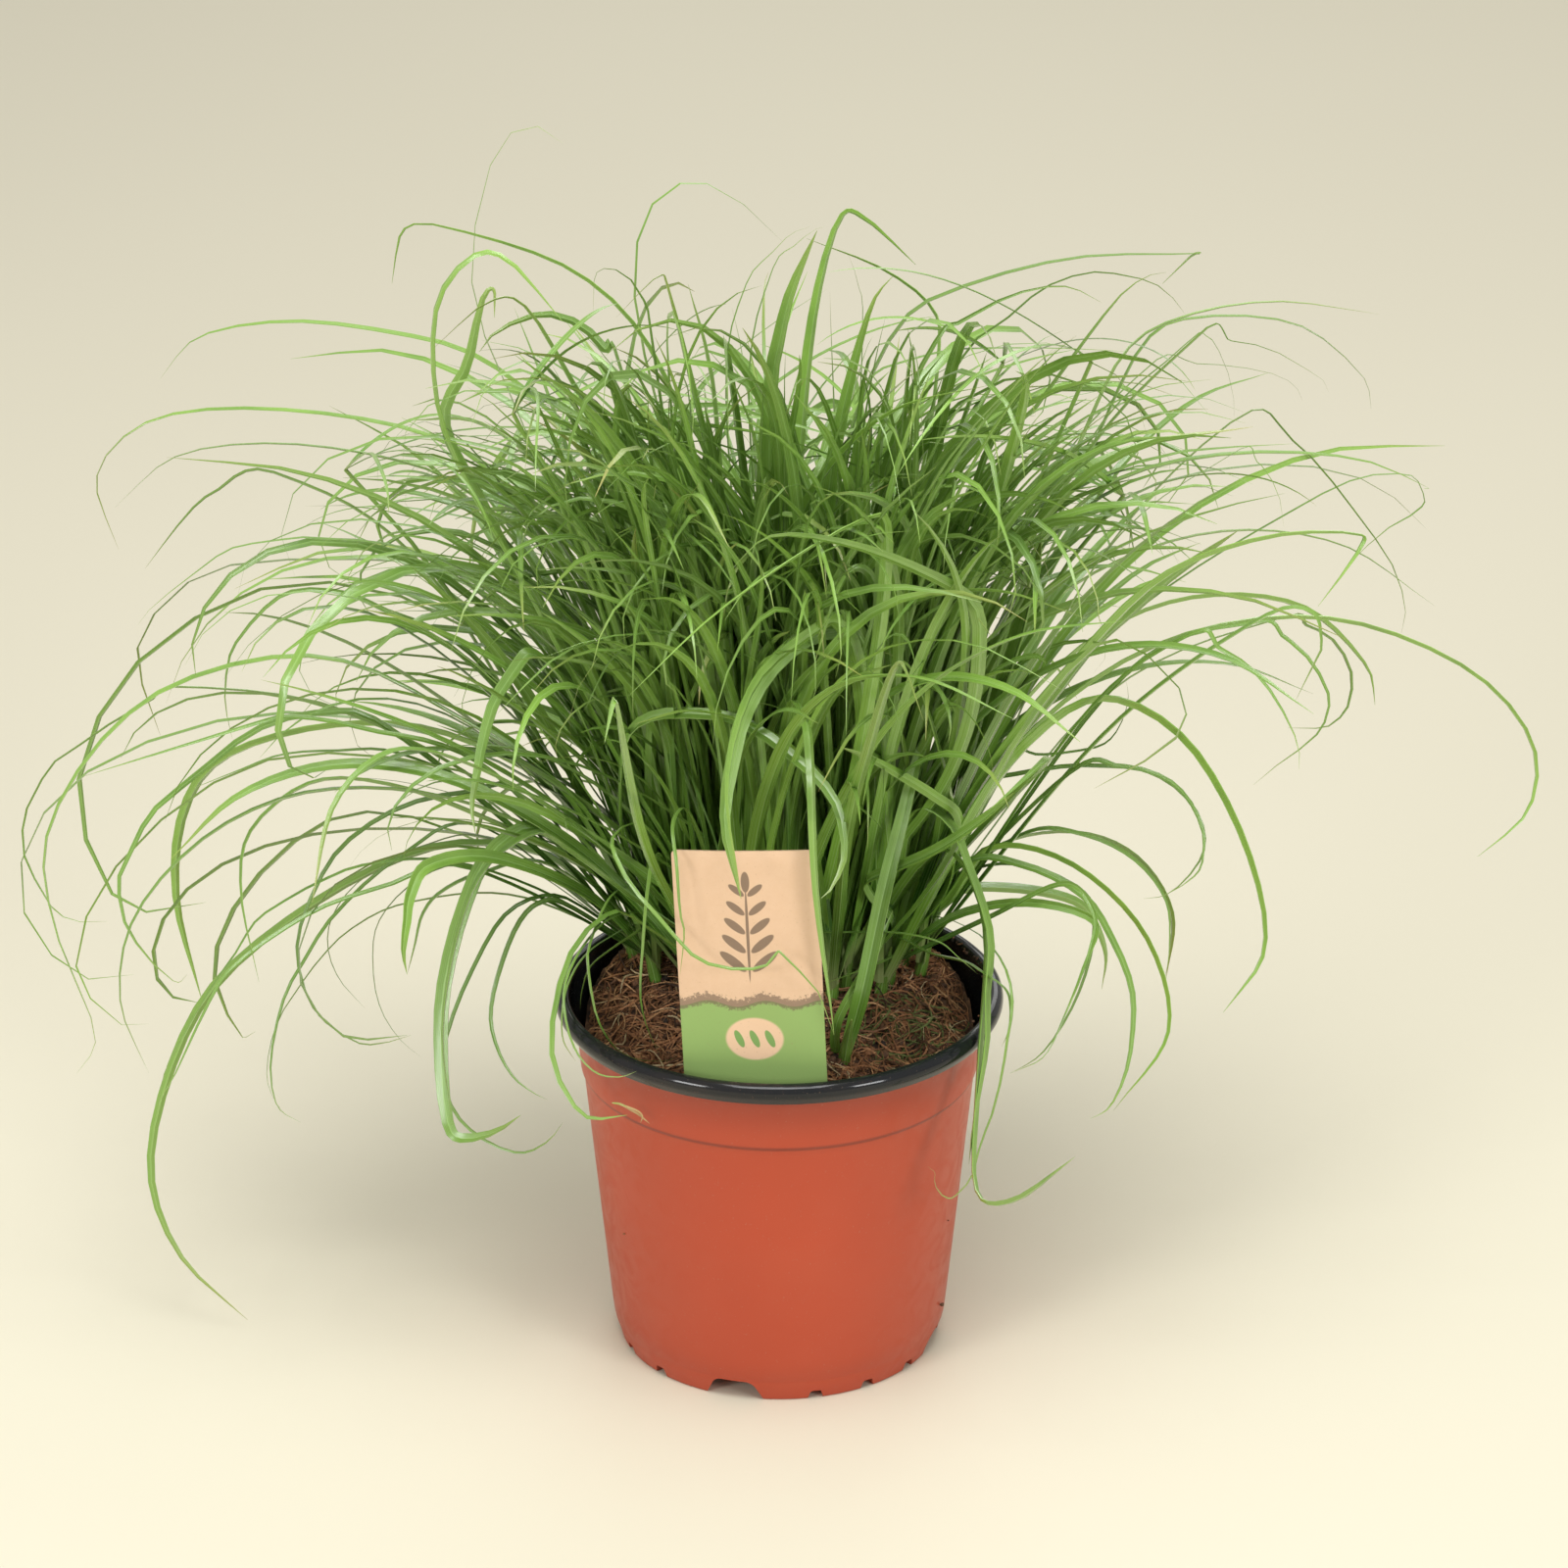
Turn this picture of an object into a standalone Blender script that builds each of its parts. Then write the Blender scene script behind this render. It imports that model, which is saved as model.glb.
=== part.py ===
"""Potted umbrella sedge: a nursery pot, its soil, a plant label and the shoots of the clump.

Metres, +Z up, the pot's foot on z = 0 and the pot's axis on the Z axis. The front is -Y.
"""
import math
import random

import bmesh
import bpy
from mathutils import Matrix, Vector
from mathutils.bvhtree import BVHTree

MM = 0.001
GAP = 0.3 * MM
UP = Vector((0, 0, 1))

# Pot: a thermoformed nursery pot with a rolled rim
POT_SIDES = 36
RIM_RADIUS = 60 * MM
RIM_HEIGHT = 102 * MM
ROLL_WIDTH = 4.2 * MM
ROLL_DEPTH = 5.6 * MM
WALL = 1.0 * MM
WALL_TOP_RADIUS = 54.4 * MM
STEP_HEIGHT = 80 * MM
STEP_OUT = 0.7 * MM
STEP_RADIUS = 52.6 * MM
FOOT_TOP_RADIUS = 45.2 * MM
FOOT_RADIUS = 43.4 * MM
FOOT_HEIGHT = 6.5 * MM
FOOT_WIDTH = 4.4 * MM
FLOOR_TOP = FOOT_HEIGHT + WALL
NOTCHES = 18
NOTCH_WIDTH = 3.6 * MM
NOTCH_HEIGHT = 2.6 * MM
WIDE_NOTCH_ANGLES = [math.radians(angle) for angle in (-106, -16, 74, 164)]
WIDE_NOTCH_WIDTH = 15 * MM
DRAIN_HOLES = 5
DRAIN_RADIUS = 4 * MM
DRAIN_CIRCLE = 26 * MM

# Soil: the root ball, mounded in the middle and heaped up towards the back
SOIL_EDGE = 87 * MM
SOIL_MOUND = 4 * MM
SOIL_HEAP = 10 * MM
SOIL_HEAP_FROM = -25 * MM
SOIL_HEAP_TO = 35 * MM
SOIL_LUMP = 1.6 * MM
SOIL_RINGS = (0.9, 0.74, 0.5, 0.25)

# Label: a card stuck in the soil behind the front of the rim
LABEL_WIDTH = 37.4 * MM
LABEL_THICKNESS = 0.8 * MM
LABEL_TOP = 165.4 * MM
LABEL_BOTTOM = 64 * MM
LABEL_TAPER_FROM = 86 * MM
LABEL_STAKE_WIDTH = 13 * MM
LABEL_CORNER = 1.0 * MM
LABEL_AT = Vector((-6.2 * MM, -47 * MM, RIM_HEIGHT))
LABEL_LEAN = math.radians(3)
LABEL_TURN = math.radians(-4.9)
LABEL_ROLL = math.radians(-2.3)

# Shoots: basal sheaths over the crown, in the back half of the pot, and one by itself at the front. They
# have four sides each
SHOOTS = 54
SIDES = 4
CROWN_CENTRE = Vector((1 * MM, 24 * MM, 0))
CROWN_X = 40 * MM
CROWN_Y = 21 * MM
FRONT_SHOOT = Vector((17 * MM, -22 * MM, 0))
GOLDEN_TURN = math.radians(137.508)
SHEATH_FOOT_RADIUS = 2.2 * MM
SHEATH_TOP_RADIUS = 1.9 * MM
SHEATH_HEIGHT = 9 * MM
SHEATH_PEAK = 0.9 * MM
SHEATH_LEAN = 0.35
BLADE_THICKNESS = 0.9 * MM
SEGMENT = 27 * MM
BEND_WEIGHT = 22 * MM
LEAST_SEGMENTS = 6
MOST_SEGMENTS = 11
CLEARANCE = 0.35 * MM

# The long leaves are drawn as an eye in front of the plant and above it sees them
EYE_DISTANCE = 1600 * MM
EYE_TILT = math.radians(24.1)
EYE_AIM_X = 1.3 * MM
EYE_AIM_Z = 161.3 * MM
FOOT_IN_VIEW = 147.2 * MM

# The long leaf of the shoot at the front, given as the ones below
FRONT_LEAF = (8, 4.2, [(19.5, 88), (23.5, 96), (25, 109), (27, 116), (29, 127), (33, 140), (38, 158), (46, 172)])

# One line for each long leaf: how far behind the axis its tip is, its width, and its route as seen,
# in millimetres right of the pot's axis and above its foot, chosen by hand
LONG_LEAVES = [
    (-145, 3.4, [(-34, 128), (-40, 152), (-42, 166), (-44, 168), (-46, 158)]),
    (-140, 3.0, [(18, 135), (26, 165), (30, 178), (34, 176), (38, 164)]),
    (-75, 4.4, [(30, 120), (45, 130), (53, 115), (55, 104), (54, 87), (52, 61), (51, 45), (55, 38),
                (67, 39), (78, 49)]),
    (-5, 3.0, [(-55, 125), (-81, 132), (-102, 127), (-124, 115), (-149, 94), (-163, 64), (-165, 40),
               (-155, 19), (-140, 6)]),
    (20, 2.6, [(-50, 138), (-85, 158), (-110, 164), (-136, 166), (-165, 159), (-183, 150), (-197, 135),
               (-200, 117), (-192, 102), (-180, 95), (-170, 97)]),
    (-25, 3.2, [(-50, 140), (-81, 163), (-109, 178), (-126, 181), (-142, 179), (-166, 170), (-184, 152),
                (-193, 134), (-193, 116), (-186, 97), (-180, 80), (-185, 71)]),
    (-45, 2.6, [(-60, 140), (-94, 153), (-127, 155), (-146, 149), (-164, 137), (-178, 121), (-185, 105),
                (-183, 92), (-172, 83), (-166, 84)]),
    (-60, 3.0, [(-55, 130), (-87, 144), (-117, 146), (-138, 141), (-159, 127), (-172, 108), (-174, 93),
                (-170, 77), (-166, 71)]),
    (45, 4.0, [(-50, 140), (-85, 160), (-113, 163), (-135, 159), (-152, 150), (-159, 132), (-159, 118),
               (-156, 105), (-152, 90)]),
    (-70, 3.6, [(-50, 125), (-88, 143), (-113, 149), (-127, 146), (-140, 134), (-142, 120), (-138, 105),
                (-137, 95)]),
    (60, 2.4, [(-55, 120), (-85, 135), (-106, 140), (-120, 137), (-136, 124), (-146, 111), (-149, 95),
               (-143, 82), (-138, 82)]),
    (-85, 3.4, [(-45, 130), (-75, 150), (-98, 157), (-109, 152), (-117, 143), (-122, 124), (-123, 116)]),
    (-60, 2.2, [(-45, 115), (-75, 130), (-105, 128), (-121, 117), (-127, 102), (-123, 88), (-111, 79),
                (-98, 81)]),
    (30, 2.4, [(-60, 170), (-95, 195), (-130, 200), (-160, 187), (-175, 172), (-184, 151), (-183, 134),
               (-175, 117), (-162, 113), (-151, 116)]),
    (45, 3.0, [(-40, 165), (-70, 222), (-87, 237), (-113, 244), (-140, 246), (-161, 245), (-173, 238),
               (-180, 227), (-174, 209)]),
    (60, 3.0, [(-22, 150), (-45, 225), (-74, 256), (-92, 264), (-121, 269), (-140, 268), (-155, 264),
               (-163, 254)]),
    (-10, 2.8, [(-35, 140), (-62, 200), (-87, 228), (-121, 236), (-140, 237), (-155, 235), (-167, 229),
                (-175, 220)]),
    (75, 2.6, [(-45, 150), (-70, 190), (-91, 205), (-131, 206), (-154, 202), (-168, 186), (-168, 176),
               (-163, 160)]),
    (70, 2.8, [(-10, 140), (-22, 230), (-37, 267), (-52, 281), (-69, 289), (-91, 294), (-99, 293),
               (-102, 279)]),
    (10, 1.6, [(-30, 150), (-62, 230), (-78, 266), (-81, 286), (-80, 294), (-78, 304), (-74, 315),
               (-68, 320), (-61, 320), (-57, 316)]),
    (-30, 3.4, [(-40, 150), (-75, 215), (-88, 238), (-91, 262), (-89, 277), (-81, 286), (-73, 286),
                (-65, 280), (-57, 269)]),
    (20, 3.6, [(-15, 140), (-35, 220), (-52, 249), (-65, 271), (-73, 275), (-85, 270), (-91, 262)]),
    (90, 2.6, [(-12, 150), (-28, 230), (-37, 268), (-38, 286), (-34, 299), (-24, 306), (-14, 303),
               (-2, 294), (1, 290)]),
    (-20, 3.4, [(-5, 150), (-15, 220), (-25, 260), (-29, 277), (-32, 281), (-38, 275), (-43, 270)]),
    (40, 4.2, [(2, 150), (4, 220), (8, 265), (13, 289), (17, 297), (25, 295), (33, 289), (36, 284)]),
    (100, 3.2, [(20, 150), (38, 230), (42, 266), (38, 274), (24, 285), (7, 291)]),
    (-10, 4.4, [(8, 150), (12, 215), (18, 251), (25, 275), (30, 281)]),
    (85, 3.2, [(12, 150), (15, 225), (32, 269), (51, 279), (78, 286), (106, 287), (107, 285), (101, 279)]),
    (20, 3.4, [(40, 150), (70, 215), (88, 257), (103, 269), (122, 274), (141, 274), (158, 271)]),
    (50, 2.8, [(45, 160), (75, 220), (95, 262), (109, 270), (131, 270), (148, 262), (156, 250), (156, 246)]),
    (-15, 4.0, [(35, 140), (58, 195), (81, 223), (104, 232), (129, 235), (152, 233), (168, 227),
                (170, 225)]),
    (60, 2.6, [(40, 135), (65, 195), (91, 223), (125, 231), (146, 230), (163, 223), (171, 214)]),
    (-50, 4.0, [(40, 125), (58, 155), (74, 175), (101, 202), (131, 213), (149, 214), (153, 210),
                (147, 198), (142, 194)]),
    (10, 3.2, [(40, 125), (65, 160), (97, 183), (130, 191), (152, 190), (179, 179), (194, 166),
               (200, 151), (195, 136), (184, 128)]),
    (80, 3.0, [(38, 130), (65, 170), (93, 192), (120, 197), (142, 192), (157, 175), (157, 168)]),
    (-55, 5.0, [(38, 115), (58, 150), (78, 168), (90, 169), (102, 164), (113, 151), (123, 131),
                (128, 110), (126, 98), (117, 87)]),
    (-75, 2.6, [(40, 120), (62, 158), (82, 183), (95, 183), (106, 172), (105, 160), (93, 151), (83, 146)]),
    (35, 3.2, [(42, 115), (55, 130), (75, 135), (92, 130), (102, 117), (104, 108), (102, 96)]),
    (-30, 3.6, [(40, 112), (53, 129), (66, 130), (81, 124), (94, 112), (101, 95), (103, 84), (97, 70),
                (88, 61)]),
    (60, 2.8, [(42, 118), (55, 120), (68, 119), (80, 115), (86, 103), (85, 93)]),
    (-45, 4.0, [(-45, 120), (-60, 135), (-76, 127), (-83, 114), (-88, 90), (-90, 72), (-86, 56)]),
    (-48, 2.6, [(-32, 108), (-42, 114), (-53, 106), (-59, 90), (-60, 77), (-57, 67), (-50, 59),
                (-40, 60)]),
    (-95, 4.0, [(45, 150), (53, 188), (46, 198), (30, 207), (11, 212), (-4, 212), (-14, 202)]),
    (-110, 3.4, [(20, 150), (28, 200), (27, 217), (16, 214), (-7, 200), (-26, 184), (-40, 170)]),
    (-90, 4.4, [(22, 150), (19, 186), (10, 188), (-3, 179), (-11, 163), (-14, 142), (-10, 118)]),
    (-60, 4.0, [(22, 115), (15, 142), (1, 158), (-15, 166), (-32, 166), (-38, 163)]),
    (-50, 3.6, [(30, 130), (29, 178), (26, 199), (19, 203), (12, 193), (9, 178)]),
    (142, 3.2, [(0, 170), (3, 225), (8, 244), (17, 246), (24, 230), (27, 205)]),
    (140, 3.0, [(-30, 160), (-50, 225), (-65, 240), (-78, 225), (-82, 200)]),
    (135, 3.0, [(30, 160), (60, 225), (78, 240), (90, 225), (94, 205)]),
]

# A long leaf keeps to its depth, or to the nearest of these steps from it, in millimetres, that is free,
# on one of the shoots nearest to where it should grow
DEPTH_SHIFTS = sorted(range(-30, 31, 3), key=abs)
SHOOTS_TRIED = 6

# Short leaves: bounds of the clump as seen, and the spread of their growth
CLUMP_HALF_WIDTH = 190 * MM
CLUMP_HALF_DEPTH = 145 * MM
CLUMP_TOP_IN_VIEW = 280 * MM
CLUMP_TOP_FALL = 1.2
POT_FRONT_HALF_WIDTH = 66 * MM
POT_FRONT_TOP_IN_VIEW = 120 * MM
SKIRT_IN_VIEW = 80 * MM
TRIES = 300
SHORT_WIDTHS = (2.2 * MM, 4.2 * MM)
SHORT_LENGTHS = (165 * MM, 285 * MM)
SHORT_LEANS = (math.radians(4), math.radians(12))
OUTER_LEANS = (math.radians(22), math.radians(62))
SHORT_BENDS = (math.radians(45), math.radians(115))
SHORT_SWIRLS = (math.radians(-40), math.radians(40))
ROUTE_STEPS = 24
FACES_FOR_LEAVES = 8050


def material(name, colour, roughness, metallic=0.0):
    """A Principled material with the part's own colour."""
    made = bpy.data.materials.new(name)
    made.use_nodes = True
    shader = made.node_tree.nodes["Principled BSDF"]
    shader.inputs["Base Color"].default_value = (*colour, 1)
    shader.inputs["Roughness"].default_value = roughness
    shader.inputs["Metallic"].default_value = metallic
    return made


def add_object(name, mesh, finish, sharp=40):
    """One named object for one piece, shaded smooth except at its sharp edges."""
    mesh.materials.append(finish)
    mesh.shade_smooth()
    mesh.set_sharp_from_angle(angle=math.radians(sharp))
    piece = bpy.data.objects.new(name, mesh)
    bpy.context.collection.objects.link(piece)
    return piece


def cutter(name, mesh):
    """A shape that only cuts others."""
    shape = bpy.data.objects.new(name, mesh)
    bpy.context.collection.objects.link(shape)
    shape.hide_render = True
    shape.display_type = "WIRE"
    return shape


def cut(piece, shape):
    """Takes one shape away from a piece."""
    boolean = piece.modifiers.new("cut", "BOOLEAN")
    boolean.operation = "DIFFERENCE"
    boolean.solver = "EXACT"
    boolean.object = shape


def turn_profile(profile, sides):
    """A solid of revolution about Z from a profile whose two ends lie on the axis."""
    bm = bmesh.new()
    points = [bm.verts.new((radius, 0, height)) for radius, height in profile]
    edges = [bm.edges.new(pair) for pair in zip(points, points[1:])]
    bmesh.ops.spin(bm, geom=points + edges, cent=(0, 0, 0), axis=UP, angle=2 * math.pi, steps=sides,
                   use_merge=True)
    bmesh.ops.remove_doubles(bm, verts=bm.verts, dist=0.01 * MM)
    bmesh.ops.recalc_face_normals(bm, faces=bm.faces)
    return bm


def to_mesh(bm, name):
    """Closes a bmesh into a new mesh."""
    mesh = bpy.data.meshes.new(name)
    bm.to_mesh(mesh)
    bm.free()
    return mesh


def inner_radius(height):
    """The pot's inside radius at a height between its floor and its step."""
    share = (height - FOOT_HEIGHT) / (STEP_HEIGHT - FOOT_HEIGHT)
    return FOOT_TOP_RADIUS + share * (STEP_RADIUS - FOOT_TOP_RADIUS) - WALL


def pot_profile():
    """The section of the pot, from the middle of its underside round the rim to the middle of its floor."""
    crest = RIM_RADIUS - ROLL_WIDTH / 2
    roll_foot = RIM_HEIGHT - ROLL_DEPTH
    step_top = STEP_HEIGHT + MM
    return [
        (0, FOOT_HEIGHT),
        (FOOT_RADIUS - FOOT_WIDTH - 0.6 * MM, FOOT_HEIGHT),
        (FOOT_RADIUS - FOOT_WIDTH, 0),
        (FOOT_RADIUS, 0),
        (FOOT_TOP_RADIUS - 0.5 * MM, 2.2 * MM),
        (FOOT_TOP_RADIUS, FOOT_HEIGHT),
        (STEP_RADIUS, STEP_HEIGHT),
        (STEP_RADIUS + STEP_OUT, step_top),
        (WALL_TOP_RADIUS, roll_foot - 3 * MM),
        (crest, roll_foot),
        (RIM_RADIUS, roll_foot + 2.2 * MM),
        (RIM_RADIUS - 0.6 * MM, RIM_HEIGHT - 1.2 * MM),
        (crest, RIM_HEIGHT),
        (crest - 1.8 * MM, RIM_HEIGHT - 1.2 * MM),
        (WALL_TOP_RADIUS - WALL, roll_foot - 3.4 * MM),
        (STEP_RADIUS + STEP_OUT - WALL, step_top),
        (STEP_RADIUS - WALL, STEP_HEIGHT),
        (inner_radius(FLOOR_TOP), FLOOR_TOP),
        (0, FLOOR_TOP),
    ]


def box_between(bm, low, high, angle):
    """A box given by its low and high corners, turned about Z."""
    made = bmesh.ops.create_cube(bm, size=1)["verts"]
    size = high - low
    for vert in made:
        vert.co = Vector((a * b for a, b in zip(vert.co, size))) + (low + high) / 2
    bmesh.ops.rotate(bm, verts=made, cent=(0, 0, 0), matrix=Matrix.Rotation(angle, 3, "Z"))


def foot_cutter():
    """The notches in the foot and the drain holes in the floor."""
    bm = bmesh.new()
    inside = -FOOT_RADIUS + FOOT_WIDTH + 2 * MM
    outside = -FOOT_TOP_RADIUS - 3 * MM
    for angle in WIDE_NOTCH_ANGLES:
        half = WIDE_NOTCH_WIDTH / 2
        box_between(bm, Vector((-half, outside, -MM)), Vector((half, inside, FOOT_HEIGHT - 0.6 * MM)), angle)
    for i in range(NOTCHES):
        angle = 2 * math.pi * (i + 0.65) / NOTCHES
        apart = min(abs(math.remainder(angle - other, 2 * math.pi)) for other in WIDE_NOTCH_ANGLES)
        if apart * FOOT_RADIUS > WIDE_NOTCH_WIDTH / 2 + NOTCH_WIDTH:
            half = NOTCH_WIDTH / 2
            box_between(bm, Vector((-half, outside, -MM)), Vector((half, inside, NOTCH_HEIGHT)), angle)
    for i in range(DRAIN_HOLES):
        angle = 2 * math.pi * i / DRAIN_HOLES
        hole = bmesh.ops.create_cone(bm, cap_ends=True, segments=10, radius1=DRAIN_RADIUS,
                                     radius2=DRAIN_RADIUS, depth=4 * MM)["verts"]
        place = Vector((DRAIN_CIRCLE * math.cos(angle), DRAIN_CIRCLE * math.sin(angle),
                        (FOOT_HEIGHT + FLOOR_TOP) / 2))
        bmesh.ops.translate(bm, verts=hole, vec=place)
    return cutter("foot_cutter", to_mesh(bm, "foot_cutter"))


def make_pot():
    """The pot, in one piece from foot to rolled rim."""
    finish = material("terracotta_plastic", (0.56, 0.10, 0.045), 0.42)
    pot = add_object("pot", to_mesh(turn_profile(pot_profile(), POT_SIDES), "pot"), finish, 50)
    cut(pot, foot_cutter())
    return pot


def soil_height(x, y):
    """Height of the soil's surface: a mound, heaped towards the back, with lumps outside the crown."""
    radius = math.hypot(x, y) / inner_radius(STEP_HEIGHT)
    share = min(1.0, max(0.0, (y - SOIL_HEAP_FROM) / (SOIL_HEAP_TO - SOIL_HEAP_FROM)))
    mound = SOIL_EDGE + SOIL_MOUND * (1 - radius * radius) + SOIL_HEAP * share * share * (3 - 2 * share)
    waves = math.sin(x / (5.1 * MM) + 1.3) * math.cos(y / (6.3 * MM)) + 0.6 * math.sin((x + y) / (3.7 * MM))
    outside_crown = min(1.0, max(0.0, (on_crown(x, y) - 1.1) * 4))
    return mound + SOIL_LUMP * waves * outside_crown


def on_crown(x, y):
    """How far a place is from the middle of the crown, as a share of the crown's own reach."""
    return math.hypot((x - CROWN_CENTRE.x) / CROWN_X, (y - CROWN_CENTRE.y) / CROWN_Y)


def make_soil():
    """The root ball: a tapered plug with a mounded, lumpy top and a slot for the label."""
    floor = FLOOR_TOP + GAP
    top_radius = inner_radius(STEP_HEIGHT) - GAP
    profile = [(0, floor), (inner_radius(FLOOR_TOP) - 2 * GAP, floor), (top_radius, STEP_HEIGHT - MM),
               (top_radius, SOIL_EDGE - 2 * MM)]
    profile += [(top_radius * share, SOIL_EDGE) for share in SOIL_RINGS]
    profile += [(0, SOIL_EDGE)]
    bm = turn_profile(profile, POT_SIDES)
    for vert in bm.verts:
        if vert.co.z > STEP_HEIGHT:
            vert.co.z += soil_height(vert.co.x, vert.co.y) - SOIL_EDGE
    finish = material("coir_soil", (0.13, 0.06, 0.03), 0.95)
    soil = add_object("soil", to_mesh(bm, "soil"), finish)
    cut(soil, cutter("label_slot", label_mesh("label_slot", GAP)))
    return soil


def label_mesh(name, grow):
    """The card's outline extruded to its thickness, and set in its leaning place."""
    half = LABEL_WIDTH / 2 + grow
    stake = LABEL_STAKE_WIDTH / 2 + grow
    top = LABEL_TOP - RIM_HEIGHT + grow
    taper = LABEL_TAPER_FROM - RIM_HEIGHT
    bottom = LABEL_BOTTOM - RIM_HEIGHT - grow
    side = [(half, taper), (half, top - LABEL_CORNER), (half - 0.3 * LABEL_CORNER, top - 0.3 * LABEL_CORNER),
            (half - LABEL_CORNER, top)]
    outline = [(-stake, bottom), (stake, bottom)] + side + [(-x, z) for x, z in reversed(side)]
    bm = bmesh.new()
    thick = LABEL_THICKNESS / 2 + grow
    card = bm.faces.new([bm.verts.new((x, -thick, z)) for x, z in outline])
    raised = bmesh.ops.extrude_face_region(bm, geom=[card])["geom"]
    bmesh.ops.translate(bm, verts=[v for v in raised if isinstance(v, bmesh.types.BMVert)],
                        vec=(0, 2 * thick, 0))
    bmesh.ops.recalc_face_normals(bm, faces=bm.faces)
    for axis, angle in (("Y", LABEL_ROLL), ("X", LABEL_LEAN), ("Z", LABEL_TURN)):
        bmesh.ops.rotate(bm, verts=bm.verts, cent=(0, 0, 0), matrix=Matrix.Rotation(angle, 3, axis))
    bmesh.ops.translate(bm, verts=bm.verts, vec=LABEL_AT)
    return to_mesh(bm, name)


def make_label():
    """The card plant label."""
    return add_object("plant_label", label_mesh("plant_label", 0),
                      material("label_card", (0.75, 0.50, 0.31), 0.7), 30)


def seen_at(right, high, behind):
    """The place that the eye sees right of the pot's axis and above its foot, at a depth behind it."""
    slope = (high - FOOT_IN_VIEW) / EYE_DISTANCE
    rise = slope * (EYE_DISTANCE + behind * math.cos(EYE_TILT)) - behind * math.sin(EYE_TILT)
    rise /= math.cos(EYE_TILT) + slope * math.sin(EYE_TILT)
    distance = EYE_DISTANCE + behind * math.cos(EYE_TILT) - rise * math.sin(EYE_TILT)
    across = EYE_AIM_X + (right - EYE_AIM_X) * distance / EYE_DISTANCE
    return Vector((across, behind, EYE_AIM_Z + rise))


def view_of(place):
    """How far right of the axis and above the foot the eye sees a place."""
    rise = place.z - EYE_AIM_Z
    distance = EYE_DISTANCE + place.y * math.cos(EYE_TILT) - rise * math.sin(EYE_TILT)
    high = rise * math.cos(EYE_TILT) + place.y * math.sin(EYE_TILT)
    return (EYE_AIM_X + (place.x - EYE_AIM_X) * EYE_DISTANCE / distance,
            FOOT_IN_VIEW + high * EYE_DISTANCE / distance)


def smooth_curve(points, steps=8):
    """A Catmull-Rom curve through the points."""
    ends = [2 * points[0] - points[1]] + points + [2 * points[-1] - points[-2]]
    curve = []
    for a, b, c, d in zip(ends, ends[1:], ends[2:], ends[3:]):
        for i in range(steps):
            t = i / steps
            curve.append(0.5 * (2 * b + (c - a) * t + (2 * a - 5 * b + 4 * c - d) * t * t
                                + (3 * b - a - 3 * c + d) * t * t * t))
    return curve + [points[-1]]


def shared_points(curve, count):
    """The given number of points along a curve, both ends among them, closer together where it bends."""
    reach = [0.0]
    before = curve[1] - curve[0]
    for a, b in zip(curve, curve[1:]):
        reach.append(reach[-1] + (b - a).length + BEND_WEIGHT * (b - a).angle(before))
        before = b - a
    picked = []
    index = 0
    for i in range(count):
        wanted = reach[-1] * i / (count - 1)
        while index < len(curve) - 2 and reach[index + 1] < wanted:
            index += 1
        span = max(reach[index + 1] - reach[index], 1e-9)
        picked.append(curve[index].lerp(curve[index + 1], min(1.0, (wanted - reach[index]) / span)))
    return picked


def curve_length(curve):
    """Length of a curve."""
    return sum((b - a).length for a, b in zip(curve, curve[1:]))


def blade_width(share, width):
    """A blade's width at a share of its length: narrow at the sheath, full early on, then a long taper."""
    opening = 0.72 + 0.28 * min(1.0, share / 0.25)
    return width * opening * max(0.0, 1 - share ** 2.6) ** 0.9


def blade_rings(route, outward, width, grow=0.0):
    """Three-sided rings along a blade: left edge, right edge and the fold between them. The last is the tip."""
    rings = []
    fold = -outward
    last = len(route) - 1
    for i in range(1, last):
        along = (route[i + 1] - route[i - 1]).normalized()
        fold = (fold - fold.dot(along) * along).normalized()
        across = fold.cross(along)
        half = blade_width(i / last, width) / 2 + grow
        thick = BLADE_THICKNESS * (1 - 0.6 * i / last)
        low = route[i] - fold * grow
        rings.append((low - across * half, low + across * half, route[i] + fold * (thick + grow)))
    return rings


def blade_faces(first, rings, tip, verts, faces):
    """Walls from the first ring, given by its vertex numbers, through the rings to the tip."""
    below = first
    for ring in rings:
        above = tuple(range(len(verts), len(verts) + 3))
        verts.extend(ring)
        for i in range(3):
            faces.append((below[i], below[(i + 1) % 3], above[(i + 1) % 3], above[i]))
        below = above
    verts.append(tip)
    for i in range(3):
        faces.append((below[i], below[(i + 1) % 3], len(verts) - 1))


def tree_of(pieces):
    """A search tree over several lists of vertices and faces."""
    verts = []
    faces = []
    for piece_verts, piece_faces in pieces:
        start = len(verts)
        verts.extend(piece_verts)
        faces.extend(tuple(index + start for index in face) for face in piece_faces)
    return BVHTree.FromPolygons(verts, faces)


def evaluated(piece):
    """The vertices and faces of an object with its modifiers."""
    depsgraph = bpy.context.evaluated_depsgraph_get()
    shape = piece.evaluated_get(depsgraph)
    mesh = shape.to_mesh()
    copied = ([v.co.copy() for v in mesh.vertices], [tuple(face.vertices) for face in mesh.polygons])
    shape.to_mesh_clear()
    return copied


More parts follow.
